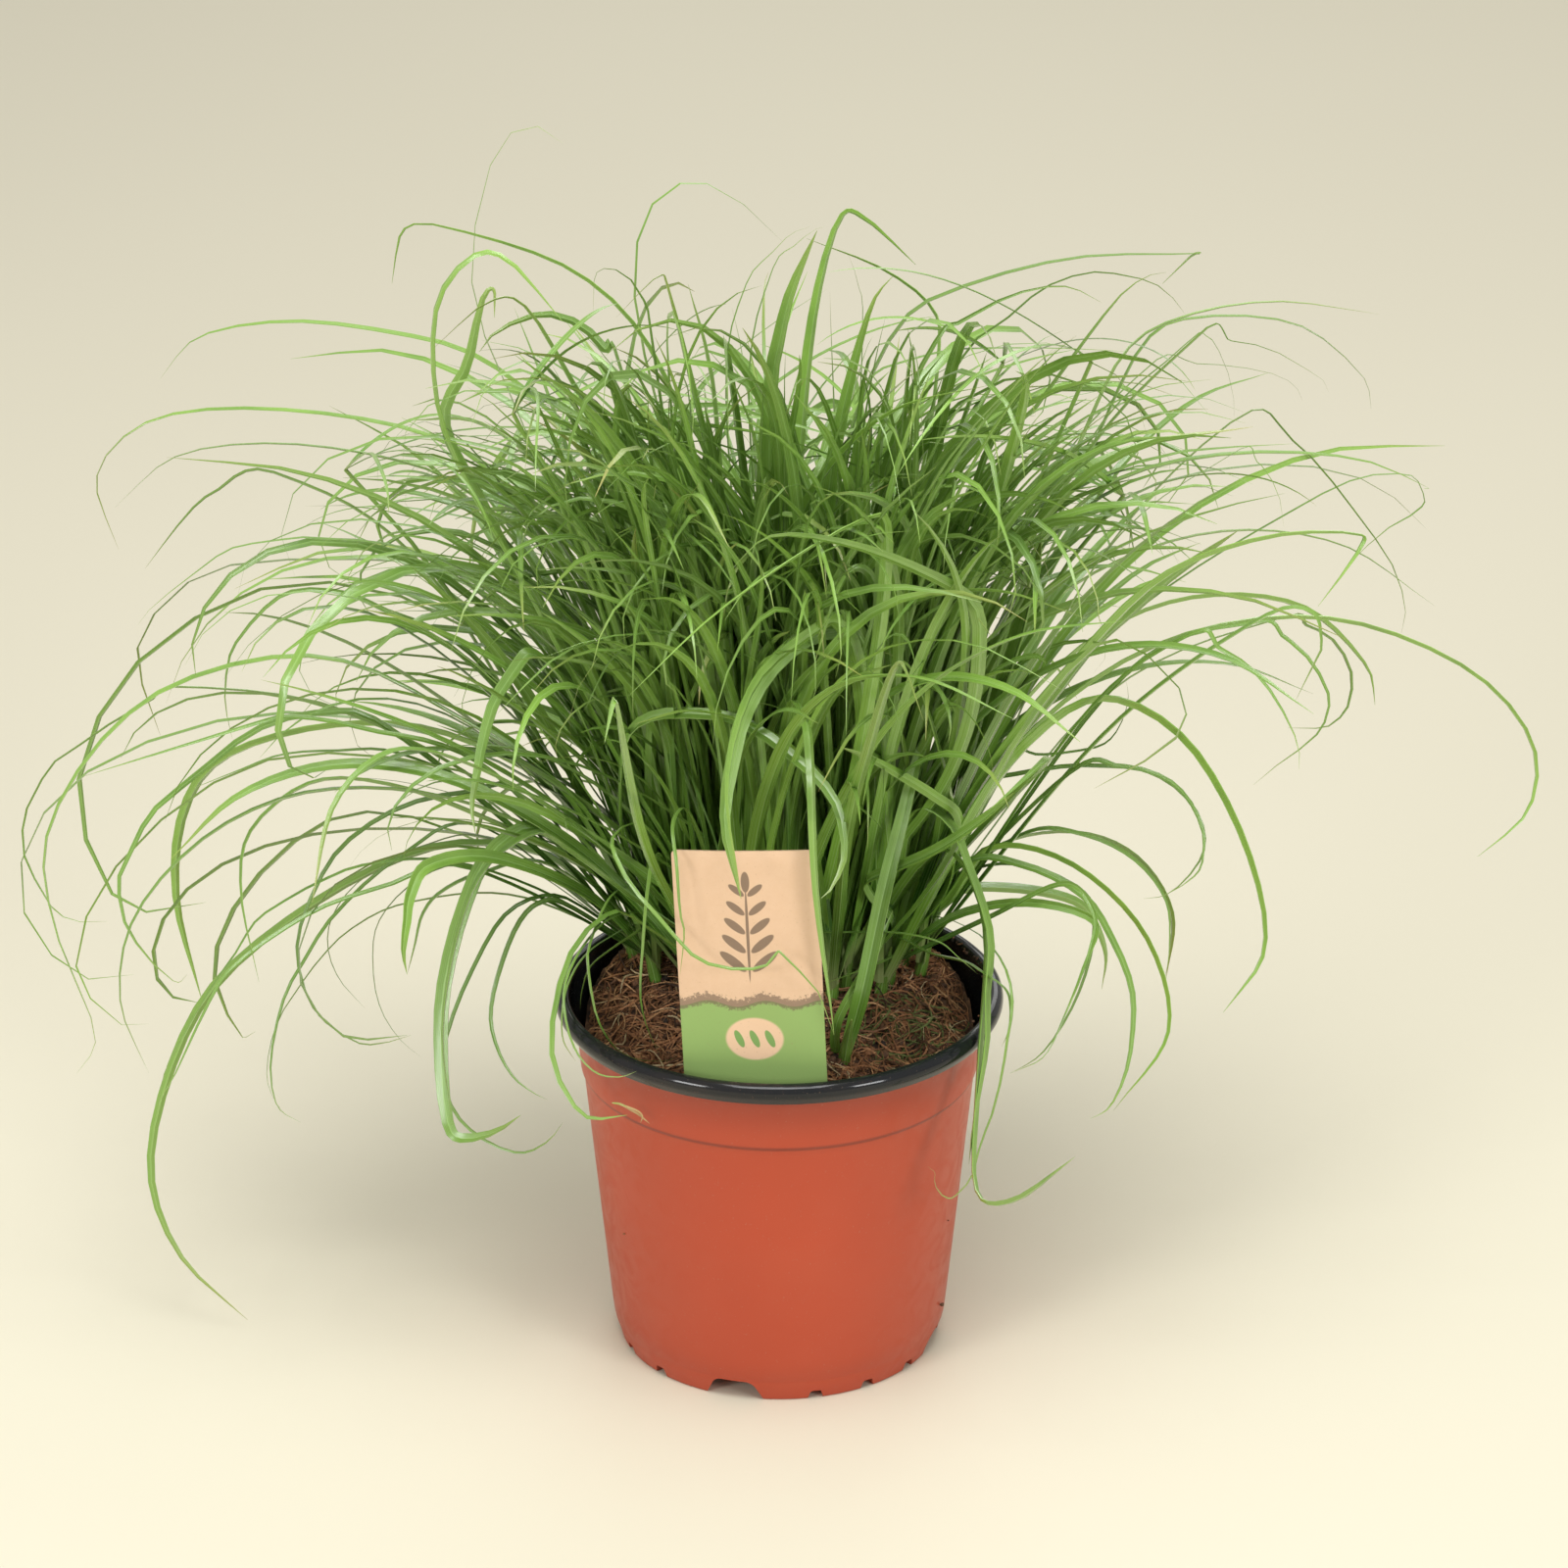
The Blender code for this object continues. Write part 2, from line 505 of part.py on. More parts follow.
class Shoot:
    """A basal sheath and the leaves that grow from its top."""

    def __init__(self, number, place, ground):
        self.name = f"shoot_{number:02d}"
        self.place = place
        self.ground = ground
        self.turn = 0.0
        self.leaves = {}

    def outward(self, side):
        """The direction that one side of the sheath faces."""
        angle = self.turn + 2 * math.pi * side / SIDES
        return Vector((math.cos(angle), math.sin(angle), 0))

    def lean(self):
        """The sheath's lean away from the middle of the crown."""
        away = self.place - CROWN_CENTRE
        away.z = 0
        return away * (SHEATH_LEAN * SHEATH_HEIGHT / CROWN_X)

    def top(self):
        """The middle of the sheath's top."""
        height = surface_at(self.ground, self.place) + 3 * GAP + SHEATH_HEIGHT
        return Vector((self.place.x, self.place.y, height)) + self.lean()

    def sheath(self):
        """Vertices and faces of the sheath, its top a low pyramid that the leaves grow from."""
        half_side = math.pi / SIDES
        middle = self.top()
        foot = []
        crown = []
        for side in range(SIDES):
            angle = self.turn + 2 * math.pi * side / SIDES - half_side
            around = Vector((math.cos(angle), math.sin(angle), 0))
            low = self.place + around * SHEATH_FOOT_RADIUS
            low.z = surface_at(self.ground, low) + 2 * GAP
            foot.append(low)
            crown.append(middle + around * SHEATH_TOP_RADIUS)
        verts = foot + crown + [middle + UP * SHEATH_PEAK]
        faces = [tuple(reversed(range(SIDES)))]
        for side in range(SIDES):
            after = (side + 1) % SIDES
            faces.append((side, after, SIDES + after, SIDES + side))
        return verts, faces

    def root(self, side):
        """Vertex numbers of the ring that a leaf grows from."""
        return SIDES + side, SIDES + (side + 1) % SIDES, 2 * SIDES

    def solid(self):
        """Vertices and faces of the whole shoot."""
        verts, faces = self.sheath()
        for side in range(SIDES):
            if side in self.leaves:
                route, width = self.leaves[side]
                blade_faces(self.root(side), blade_rings(route, self.outward(side), width), route[-1],
                            verts, faces)
            else:
                faces.append(self.root(side))
        return verts, faces


def surface_at(ground, place):
    """Height of the soil under a place."""
    hit = ground.ray_cast(Vector((place.x, place.y, 1)), -UP)
    return hit[0].z


def grown(shoot, side, route, width, from_ring):
    """A leaf grown by the clearance, from one of its rings on, to try against its neighbours."""
    rings = blade_rings(route, shoot.outward(side), width, CLEARANCE)
    verts = []
    faces = []
    if from_ring == 0:
        sheath = shoot.sheath()[0]
        verts.extend(sheath[i] for i in shoot.root(side))
        blade_faces((0, 1, 2), rings, route[-1], verts, faces)
    else:
        verts.extend(rings[from_ring - 1])
        blade_faces((0, 1, 2), rings[from_ring:], route[-1], verts, faces)
    return BVHTree.FromPolygons(verts, faces)


def is_free(shoot, side, route, width, others):
    """True where a leaf clears all other pieces and the other leaves of its own shoot."""
    if grown(shoot, side, route, width, 0).overlap(others):
        return False
    late = grown(shoot, side, route, width, 1)
    for other_side, (other_route, other_width) in shoot.leaves.items():
        if late.overlap(grown(shoot, other_side, other_route, other_width, 1)):
            return False
    return not crosses_itself(shoot, side, route, width)


def crosses_itself(shoot, side, route, width):
    """True where the shoot would run through itself with this leaf on it."""
    shoot.leaves[side] = (route, width)
    verts, faces = shoot.solid()
    del shoot.leaves[side]
    triangles = [(face[0], face[i], face[i + 1]) for face in faces for i in range(1, len(face) - 1)]
    tree = BVHTree.FromPolygons(verts, triangles)
    return any(not set(triangles[a]) & set(triangles[b]) for a, b in tree.overlap(tree))


def leaf_segments(curve):
    """Number of segments that a leaf of this length needs."""
    return max(LEAST_SEGMENTS, min(MOST_SEGMENTS, round(curve_length(curve) / SEGMENT)))


def long_leaf_route(shoot, side, seen, depth):
    """The route of a long leaf from its sheath, through the places where it is seen, to its tip."""
    start = shoot.top() + shoot.outward(side) * 0.6 * SHEATH_TOP_RADIUS
    begin = view_of(start)
    spans = [math.dist(begin, (seen[0][0] * MM, seen[0][1] * MM))]
    for a, b in zip(seen, seen[1:]):
        spans.append(math.dist(a, b) * MM)
    points = [start]
    walked = 0.0
    for (right, high), span in zip(seen, spans):
        walked += span
        behind = start.y + (depth - start.y) * (walked / sum(spans)) ** 1.2
        points.append(seen_at(right * MM, high * MM, behind))
    curve = smooth_curve(points)
    return shared_points(curve, leaf_segments(curve) + 1)


def nearest_shoots(shoots, seen, depth):
    """The free shoots on the crown that suit a long leaf, the best first."""
    wanted = Vector((seen[0][0] * 0.75 * MM, CROWN_CENTRE.y + depth * 0.15 * MM, 0))
    free = [shoot for shoot in shoots if not shoot.leaves]
    return sorted(free, key=lambda shoot: (shoot.place - wanted).length)[:SHOOTS_TRIED]


def grow_long_leaf(shoot, others, depth, width, seen):
    """Puts a long leaf on a shoot at the first depth where it clears the others, and tells whether it did."""
    direction = seen_at(seen[1][0] * MM, seen[1][1] * MM, depth * 0.4 * MM) - shoot.place
    kept_turn = shoot.turn
    shoot.turn = math.atan2(direction.y, direction.x)
    for shift in DEPTH_SHIFTS:
        route = long_leaf_route(shoot, 0, seen, (depth + shift) * MM)
        inside = all(place.z > 2 * MM and abs(place.y) <= CLUMP_HALF_DEPTH for place in route)
        if inside and is_free(shoot, 0, route, width, others):
            shoot.leaves[0] = (route, width)
            return True
    shoot.turn = kept_turn
    return False


def grow_long_leaves(shoots, leaves, fixed):
    """Puts each long leaf on a shoot of its own."""
    for depth, width, seen in leaves:
        for shoot in nearest_shoots(shoots, seen, depth):
            others = tree_of(fixed + [s.solid() for s in shoots if s is not shoot])
            if grow_long_leaf(shoot, others, depth, width * MM, seen):
                break


def in_clump(route):
    """True where a short leaf stays inside the clump's outline and clear of the pot's front."""
    for place in route[1:]:
        right, high = view_of(place)
        if abs(place.x) > CLUMP_HALF_WIDTH or abs(place.y) > CLUMP_HALF_DEPTH:
            return False
        if high > CLUMP_TOP_IN_VIEW - CLUMP_TOP_FALL * right * right or high < SKIRT_IN_VIEW:
            return False
        if place.y < 0 and abs(right) < POT_FRONT_HALF_WIDTH and high < POT_FRONT_TOP_IN_VIEW:
            if place.z > RIM_HEIGHT + 20 * MM or place.y < -40 * MM:
                return False
    return True


def short_leaf_route(shoot, side, draw, vigour):
    """A leaf that rises from its side of the sheath and arches over under its own weight."""
    start = shoot.top() + shoot.outward(side) * 0.6 * SHEATH_TOP_RADIUS
    away = shoot.place - CROWN_CENTRE
    away.z = 0
    reach = min(1.0, on_crown(shoot.place.x, shoot.place.y))
    heading = shoot.outward(side) + away.normalized() * reach * draw.uniform(0.3, 1.2)
    facing = max(0.0, shoot.outward(side).dot(away.normalized()))
    lean = draw.uniform(*SHORT_LEANS) + reach * facing * draw.uniform(*OUTER_LEANS)
    bend = draw.uniform(*SHORT_BENDS)
    power = draw.uniform(1.4, 2.4)
    swirl = draw.uniform(*SHORT_SWIRLS)
    length = draw.uniform(*SHORT_LENGTHS) * (1 - 0.12 * reach) * vigour
    turn = math.atan2(heading.y, heading.x)
    curve = [start]
    for i in range(ROUTE_STEPS):
        share = (i + 0.5) / ROUTE_STEPS
        tilt = lean + bend * share ** power
        angle = turn + swirl * share
        step = Vector((math.sin(tilt) * math.cos(angle), math.sin(tilt) * math.sin(angle), math.cos(tilt)))
        curve.append(curve[-1] + step * (length / ROUTE_STEPS))
    return shared_points(curve, LEAST_SEGMENTS + 1)


def grow_short_leaves(shoots, fixed, draw):
    """Fills the free sides of the shoots until the leaves have used up their share of faces."""
    used = sum(count_faces(shoot) for shoot in shoots)
    for side in (0, 2, 1, 3):
        for shoot in shoots:
            if side in shoot.leaves or used > FACES_FOR_LEAVES:
                continue
            others = tree_of(fixed + [s.solid() for s in shoots if s is not shoot])
            for attempt in range(TRIES):
                route = short_leaf_route(shoot, side, draw, 1 - 0.5 * attempt / TRIES)
                width = draw.uniform(*SHORT_WIDTHS) * (1 - 0.4 * attempt / TRIES)
                if in_clump(route) and is_free(shoot, side, route, width, others):
                    before = count_faces(shoot)
                    shoot.leaves[side] = (route, width)
                    used += count_faces(shoot) - before
                    break


def count_faces(shoot):
    """Triangles in a shoot."""
    return sum(len(face) - 2 for face in shoot.solid()[1])


def crown_places():
    """Places on the crown in a sunflower pattern, and the one at the front."""
    for i in range(SHOOTS - 1):
        radius = math.sqrt((i + 0.5) / (SHOOTS - 1))
        angle = i * GOLDEN_TURN
        yield CROWN_CENTRE + Vector((CROWN_X * radius * math.cos(angle), CROWN_Y * radius * math.sin(angle), 0))
    yield FRONT_SHOOT


def make_shoots(pot, soil, label):
    """All shoots of the clump, each its own object."""
    draw = random.Random(7)
    ground = tree_of([evaluated(soil)])
    fixed = [evaluated(pot), evaluated(soil), evaluated(label)]
    shoots = []
    for number, place in enumerate(crown_places(), 1):
        shoot = Shoot(number, place, ground)
        shoot.turn = math.atan2(place.y - CROWN_CENTRE.y, place.x - CROWN_CENTRE.x)
        shoots.append(shoot)
    grow_long_leaves(shoots[-1:], [FRONT_LEAF], fixed)
    grow_long_leaves(shoots[:-1], LONG_LEAVES, fixed + [shoots[-1].solid()])
    grow_short_leaves(shoots, fixed, draw)
    finish = material("sedge_leaf", (0.12, 0.31, 0.05), 0.4)
    for shoot in shoots:
        verts, faces = shoot.solid()
        mesh = bpy.data.meshes.new(shoot.name)
        mesh.from_pydata(verts, [], faces)
        add_object(shoot.name, mesh, finish, 60)


def main():
    for old in list(bpy.data.objects):
        bpy.data.objects.remove(old)
    pot = make_pot()
    soil = make_soil()
    label = make_label()
    make_shoots(pot, soil, label)


main()
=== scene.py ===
"""Potted umbrella sedge: the looks of its pot, soil, label and shoots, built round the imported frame.

Everything is in metres, +Z up, with the foot of the pot on z = 0 and its axis on the Z axis.
"""
import math
import random

import bpy
import numpy as np
from mathutils import Matrix, Vector, noise
from mathutils.bvhtree import BVHTree


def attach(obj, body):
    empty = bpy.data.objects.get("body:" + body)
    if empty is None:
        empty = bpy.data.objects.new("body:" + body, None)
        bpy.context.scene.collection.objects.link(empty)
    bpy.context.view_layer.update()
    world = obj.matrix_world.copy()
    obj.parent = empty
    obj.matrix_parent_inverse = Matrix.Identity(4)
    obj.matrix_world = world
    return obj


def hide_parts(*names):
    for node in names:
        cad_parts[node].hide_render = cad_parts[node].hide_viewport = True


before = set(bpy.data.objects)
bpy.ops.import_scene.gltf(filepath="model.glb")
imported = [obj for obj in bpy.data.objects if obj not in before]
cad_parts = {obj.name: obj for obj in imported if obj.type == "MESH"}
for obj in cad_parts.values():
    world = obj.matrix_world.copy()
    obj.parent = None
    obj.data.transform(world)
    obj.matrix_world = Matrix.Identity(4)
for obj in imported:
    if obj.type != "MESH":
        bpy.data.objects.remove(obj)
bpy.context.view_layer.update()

MM = 0.001

# The camera, as far and as high as it stood from the plant
EYE_DISTANCE = 1600 * MM
EYE_TILT = math.radians(24.1)
EYE_AIM = Vector((1.3 * MM, 0, 161.3 * MM))
FOOT_IN_VIEW = 147.2 * MM
LENS = 139.43

# Pot
POT_SIDES = 160
RIM_RADIUS = 60 * MM
RIM_HEIGHT = 102 * MM
ROLL_FOOT = 96.4 * MM
STEP_HEIGHT = 80 * MM
STEP_RADIUS = 52.6 * MM
FOOT_TOP_RADIUS = 45.2 * MM
FOOT_RADIUS = 43.4 * MM
FOOT_HEIGHT = 6.5 * MM
WALL = 1.0 * MM
WIDE_NOTCH_ANGLES = (-106, -16, 74, 164)
SMALL_NOTCHES = 18
SMALL_NOTCH_SHIFT = 0.65
DRAIN_HOLES = 5
DRAIN_RADIUS = 4 * MM
DRAIN_CIRCLE = 26 * MM

# Soil
SOIL_RADIUS = 50.9 * MM
SOIL_TOP_RADIUS = 52.1 * MM
SOIL_SIDES = 168
SOIL_RINGS = 60
FIBRES = 3600
CRUMBS = 900
GRAINS = 1700

# Label
LABEL_WIDTH = 37.4 * MM
LABEL_THICKNESS = 0.8 * MM
LABEL_TOP = 63.4 * MM
LABEL_BOTTOM = -38 * MM
LABEL_TAPER_FROM = -16 * MM
LABEL_STAKE_WIDTH = 13 * MM
LABEL_AT = Vector((-6.2 * MM, -47 * MM, RIM_HEIGHT))
LABEL_LEAN = math.radians(3)
LABEL_TURN = math.radians(-4.9)
LABEL_ROLL = math.radians(-2.3)
PRINT_SCALE = 10

# Leaves
CROWN_CENTRE = np.array((1 * MM, 24 * MM, 0))
CROWN_X = 40 * MM
CROWN_Y = 21 * MM
SHEATH_LEAN = 0.079
WIDE_ROWS = 30
FINE_ROWS = 16
STEM_ROWS = 6
BLADE_FOLD = 0.19
BLADE_THICKNESS = 0.08
BROAD_LEAF = 2.6 * MM
FINE_LEAVES = 14
FINE_WIDTHS = (1.1, 1.5, 1.9, 2.2, 2.6, 3.0, 3.4, 4.0)
WHORL_LEAVES = 9
BEND_WEIGHT = 16 * MM

# The clump's outline as the camera sees it, which the longest fine leaves reach
CLUMP_LEFT = 188 * MM
CLUMP_RIGHT = 150 * MM
CLUMP_DEEP = 138 * MM
CLUMP_TOP = 288 * MM
CLUMP_TOP_FALL_LEFT = 3.8
CLUMP_TOP_FALL_RIGHT = 2.6
CLUMP_LOW = 62 * MM


def seen_at(right, high, behind):
    """The place that the camera sees right of the pot's axis and above its foot, at a depth behind it."""
    slope = (high - FOOT_IN_VIEW) / EYE_DISTANCE
    rise = slope * (EYE_DISTANCE + behind * math.cos(EYE_TILT)) - behind * math.sin(EYE_TILT)
    rise /= math.cos(EYE_TILT) + slope * math.sin(EYE_TILT)
    distance = EYE_DISTANCE + behind * math.cos(EYE_TILT) - rise * math.sin(EYE_TILT)
    return np.array((EYE_AIM.x + (right - EYE_AIM.x) * distance / EYE_DISTANCE, behind, EYE_AIM.z + rise))


def view_of(place):
    """How far right of the axis and above the foot the camera sees a place."""
    rise = place[2] - EYE_AIM.z
    distance = EYE_DISTANCE + place[1] * math.cos(EYE_TILT) - rise * math.sin(EYE_TILT)
    high = rise * math.cos(EYE_TILT) + place[1] * math.sin(EYE_TILT)
    return (EYE_AIM.x + (place[0] - EYE_AIM.x) * EYE_DISTANCE / distance,
            FOOT_IN_VIEW + high * EYE_DISTANCE / distance)


# Modelling helpers

def start(operator, name, **options):
    """Adds a primitive with nothing else selected, and names it."""
    bpy.ops.object.select_all(action="DESELECT")
    operator(**options)
    piece = bpy.context.object
    piece.name = name
    piece.data.name = name
    return piece


def edit(piece, chosen=None):
    """Goes into edit mode on a piece with the vertices selected that the test chooses, or all of them."""
    bpy.context.view_layer.objects.active = piece
    bpy.ops.object.mode_set(mode="OBJECT")
    bpy.ops.object.mode_set(mode="EDIT")
    bpy.ops.mesh.select_mode(type="VERT")
    bpy.ops.mesh.select_all(action="SELECT" if chosen is None else "DESELECT")
    if chosen is not None:
        bpy.ops.object.mode_set(mode="OBJECT")
        for vert in piece.data.vertices:
            vert.select = chosen(vert.co)
        bpy.ops.object.mode_set(mode="EDIT")


def leave():
    """Goes back to object mode."""
    bpy.ops.object.mode_set(mode="OBJECT")


def modify(piece, kind, **values):
    """Adds a modifier to a piece and applies it."""
    bpy.context.view_layer.objects.active = piece
    made = piece.modifiers.new(kind.lower(), kind)
    for name, value in values.items():
        setattr(made, name, value)
    bpy.ops.object.modifier_apply(modifier=made.name)


def recalculate(piece):
    """Merges doubles and points every face outwards."""
    edit(piece)
    bpy.ops.mesh.remove_doubles(threshold=0.00001)
    bpy.ops.mesh.normals_make_consistent(inside=False)
    leave()


def smooth(piece, angle=35):
    """Shades a piece smooth except at its sharp edges."""
    bpy.ops.object.select_all(action="DESELECT")
    piece.select_set(True)
    bpy.context.view_layer.objects.active = piece
    bpy.ops.object.shade_smooth_by_angle(angle=math.radians(angle))


def finished(piece, slot, *nodes):
    """A finished piece rides on the only body and stands for its nodes, which it hides; its slot is not used."""
    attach(piece, "root")
    if nodes:
        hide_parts(*nodes)
    return piece


def turned(name, section, sides):
    """A turned piece: a ring drawn at the section's first place is extruded to each next, and both ends filled."""
    radius, height = section[0]
    piece = start(bpy.ops.mesh.primitive_circle_add, name, vertices=sides, radius=radius, fill_type="NGON",
                  location=(0, 0, height))
    bpy.ops.object.transform_apply(location=True)
    edit(piece)
    for next_radius, next_height in section[1:]:
        bpy.ops.mesh.extrude_region_move(
            TRANSFORM_OT_translate={"value": (0, 0, next_height - height)})
        share = next_radius / radius
        bpy.ops.transform.resize(value=(share, share, 1), center_override=(0, 0, next_height))
        radius, height = next_radius, next_height
    leave()
    recalculate(piece)
    return piece


def arc(centre, radius, first, last, steps):
    """Places of an arc in a section, its angles in degrees from outwards, turning up."""
    places = []
    for i in range(steps + 1):
        angle = math.radians(first + (last - first) * i / steps)
        places.append((centre[0] + radius[0] * math.cos(angle), centre[1] + radius[1] * math.sin(angle)))
    return places


# Shader helpers

def new_node(tree, kind, **values):
    """A node with its settings and the values of its inputs, which may be another node's outputs."""
    made = tree.nodes.new("ShaderNode" + kind)
    inputs = values.pop("inputs", {})
    for name, value in values.items():
        setattr(made, name, value)
    for name, value in inputs.items():
        if isinstance(value, bpy.types.NodeSocket):
            tree.links.new(value, made.inputs[name])
        else:
            made.inputs[name].default_value = value
    return made


def maths(tree, operation, first, second=0.0, clamp=False):
    """The output of a Math node."""
    return new_node(tree, "Math", operation=operation, use_clamp=clamp, inputs={0: first, 1: second}).outputs[0]


def spread(tree, value, low, high, to_low=0.0, to_high=1.0):
    """A value carried smoothly from one range to another."""
    made = new_node(tree, "MapRange", interpolation_type="SMOOTHSTEP",
                    inputs={"Value": value, "From Min": low, "From Max": high, "To Min": to_low,
                            "To Max": to_high})
    return made.outputs["Result"]


def blended(tree, share, first, second, how="MIX"):
    """Two colours mixed by a share."""
    made = new_node(tree, "Mix", data_type="RGBA", blend_type=how)
    for socket, value in zip((made.inputs[0], made.inputs[6], made.inputs[7]), (share, first, second)):
        if isinstance(value, bpy.types.NodeSocket):
            tree.links.new(value, socket)
        else:
            socket.default_value = value if isinstance(value, float) else (*value, 1)
    return made.outputs[2]


def new_group(name, inputs, outputs):
    """A shader node group with named inputs, given as name: (socket type, value), and outputs."""
    group = bpy.data.node_groups.new(name, "ShaderNodeTree")
    for label, (kind, value) in inputs.items():
        socket = group.interface.new_socket(label, in_out="INPUT", socket_type="NodeSocket" + kind)
        socket.default_value = value
    for label, kind in outputs.items():
        group.interface.new_socket(label, in_out="OUTPUT", socket_type="NodeSocket" + kind)
    return group, group.nodes.new("NodeGroupInput").outputs, group.nodes.new("NodeGroupOutput").inputs


def place_group(tree, group, **values):
    """A group placed in a material, with the values of its inputs by their names in lower case."""
    made = tree.nodes.new("ShaderNodeGroup")
    made.node_tree = group
    for socket in made.inputs:
        value = values.get(socket.name.lower())
        if isinstance(value, bpy.types.NodeSocket):
            tree.links.new(value, socket)
        elif value is not None:
            socket.default_value = (*value, 1) if isinstance(value, tuple) else value
    return made.outputs


def new_material(name, roughness, **constants):
    """A material, its tree, its shader and its Object coordinates."""
    made = bpy.data.materials.new(name)
    made.use_nodes = True
    tree = made.node_tree
    shader = tree.nodes["Principled BSDF"]
    shader.inputs["Roughness"].default_value = roughness
    for label, value in constants.items():
        shader.inputs[label.replace("_", " ")].default_value = value
    return made, tree, shader, tree.nodes.new("ShaderNodeTexCoord").outputs["Object"]


def bump(tree, shader, height, strength, distance):
    """A Bump node from a height to the shader's normal."""
    made = new_node(tree, "Bump", inputs={"Height": height, "Strength": strength, "Distance": distance})
    tree.links.new(made.outputs["Normal"], shader.inputs["Normal"])


def speckle_group():
    """Dust that lies in specks and cloudy patches over a colour."""
    group, given, out = new_group(
        "dusting",
        {"Place": ("Vector", (0, 0, 0)), "Colour": ("Color", (1, 1, 1, 1)), "Dust": ("Color", (1, 1, 1, 1)),
         "Fineness": ("Float", 900.0), "Specks": ("Float", 0.1), "Patches": ("Float", 0.1)},
        {"Colour": "Color", "Mask": "Float"})
    fine = new_node(group, "TexNoise", inputs={"Vector": given["Place"], "Scale": given["Fineness"],
                                               "Detail": 2.0, "Roughness": 0.6}).outputs["Fac"]
    cloud = new_node(group, "TexNoise", inputs={"Vector": given["Place"], "Scale": 38.0, "Detail": 4.0,
                                                "Roughness": 0.65}).outputs["Fac"]
    specks = maths(group, "MULTIPLY", spread(group, fine, 0.66, 0.74), given["Specks"])
    patches = maths(group, "MULTIPLY", spread(group, cloud, 0.42, 0.72), given["Patches"])
    mask = maths(group, "ADD", specks, patches, clamp=True)
    group.links.new(blended(group, mask, given["Colour"], given["Dust"]), out["Colour"])
    group.links.new(mask, out["Mask"])
    return group


def oval_group():
    """The mask of one turned oval on the label's print, whose sizes are in millimetres."""
    group, given, out = new_group(
        "oval_mark",
        {"Place": ("Vector", (0, 0, 0)), "Across": ("Float", 0.0), "High": ("Float", 0.0),
         "Turn": ("Float", 0.0), "Length": ("Float", 4.0), "Width": ("Float", 2.0)},
        {"Mask": "Float"})
    centre = new_node(group, "CombineXYZ", inputs={"X": given["Across"], "Y": given["High"]}).outputs[0]
    moved = new_node(group, "VectorMath", operation="SUBTRACT",
                     inputs={0: given["Place"], 1: centre}).outputs[0]
    turned_by = new_node(group, "VectorRotate", rotation_type="Z_AXIS",
                         inputs={"Vector": moved, "Angle": given["Turn"]}).outputs[0]
    sizes = new_node(group, "CombineXYZ", inputs={"X": given["Length"], "Y": given["Width"],
                                                  "Z": 1.0}).outputs[0]
    scaled = new_node(group, "VectorMath", operation="DIVIDE", inputs={0: turned_by, 1: sizes}).outputs[0]
    reach = new_node(group, "VectorMath", operation="LENGTH", inputs={0: scaled}).outputs["Value"]
    group.links.new(spread(group, reach, 0.53, 0.47), out["Mask"])
    return group


# Materials

def plastic_outside(dusting):
    """Satin orange-red plastic sheet with faint clouds, scuffs and a little dust, and painted shade under the rim,
    along the step and towards the foot.
    """
    made, tree, shader, place = new_material("terracotta_plastic", 0.4, Specular_IOR_Level=0.5)
    cloud = new_node(tree, "TexNoise", inputs={"Vector": place, "Scale": 16.0, "Detail": 3.0}).outputs["Fac"]
    body = blended(tree, spread(tree, cloud, 0.3, 0.7), (0.425, 0.053, 0.017), (0.465, 0.060, 0.020))
    height = new_node(tree, "SeparateXYZ", inputs={"Vector": place}).outputs["Z"]
    # Painted shade: the wall darkens from just above the step up to the rim, where the rim's shadow falls, and a
    # little towards the foot.
    shade = maths(tree, "ADD", spread(tree, height, STEP_HEIGHT + 2 * MM, ROLL_FOOT, 0.0, 0.62),
                  spread(tree, height, 55 * MM, 5 * MM, 0.0, 0.16))
    body = blended(tree, shade, body, (0.22, 0.030, 0.014))
    # Painted shadow: a thin dark line along the step, where its recess is shaded.
    above = spread(tree, height, STEP_HEIGHT - 0.5 * MM, STEP_HEIGHT + 0.1 * MM)
    below = spread(tree, height, STEP_HEIGHT + 1.4 * MM, STEP_HEIGHT + 0.7 * MM)
    with_painted_step_shadow = blended(tree, maths(tree, "MULTIPLY", maths(tree, "MULTIPLY", above, below), 0.55), body,
                    (0.10, 0.014, 0.008))
    dusted = place_group(tree, dusting, place=place, colour=with_painted_step_shadow, dust=(0.36, 0.20, 0.13), fineness=1300.0,
                         specks=0.25, patches=0.025)
    tree.links.new(dusted["Colour"], shader.inputs["Base Color"])
    scuff = new_node(tree, "TexNoise", inputs={"Vector": place, "Scale": 120.0, "Detail": 5.0,
                                               "Distortion": 1.2}).outputs["Fac"]
    tree.links.new(spread(tree, scuff, 0.3, 0.75, 0.34, 0.5), shader.inputs["Roughness"])
    wavy = new_node(tree, "TexNoise", inputs={"Vector": place, "Scale": 55.0, "Detail": 1.0}).outputs["Fac"]
    bump(tree, shader, wavy, 0.12, 0.0012)
    return made


def plastic_inside(dusting):
    """Glossy black plastic with soil dust on it."""
    made, tree, shader, place = new_material("black_plastic", 0.16, Specular_IOR_Level=0.36)
    dusted = place_group(tree, dusting, place=place, colour=(0.010, 0.011, 0.013), dust=(0.10, 0.055, 0.03),
                         fineness=1500.0, specks=0.6, patches=0.10)
    tree.links.new(dusted["Colour"], shader.inputs["Base Color"])
    tree.links.new(spread(tree, dusted["Mask"], 0.0, 0.5, 0.10, 0.6), shader.inputs["Roughness"])
    wavy = new_node(tree, "TexNoise", inputs={"Vector": place, "Scale": 130.0, "Detail": 2.0}).outputs["Fac"]
    bump(tree, shader, wavy, 0.10, 0.0004)
    return made


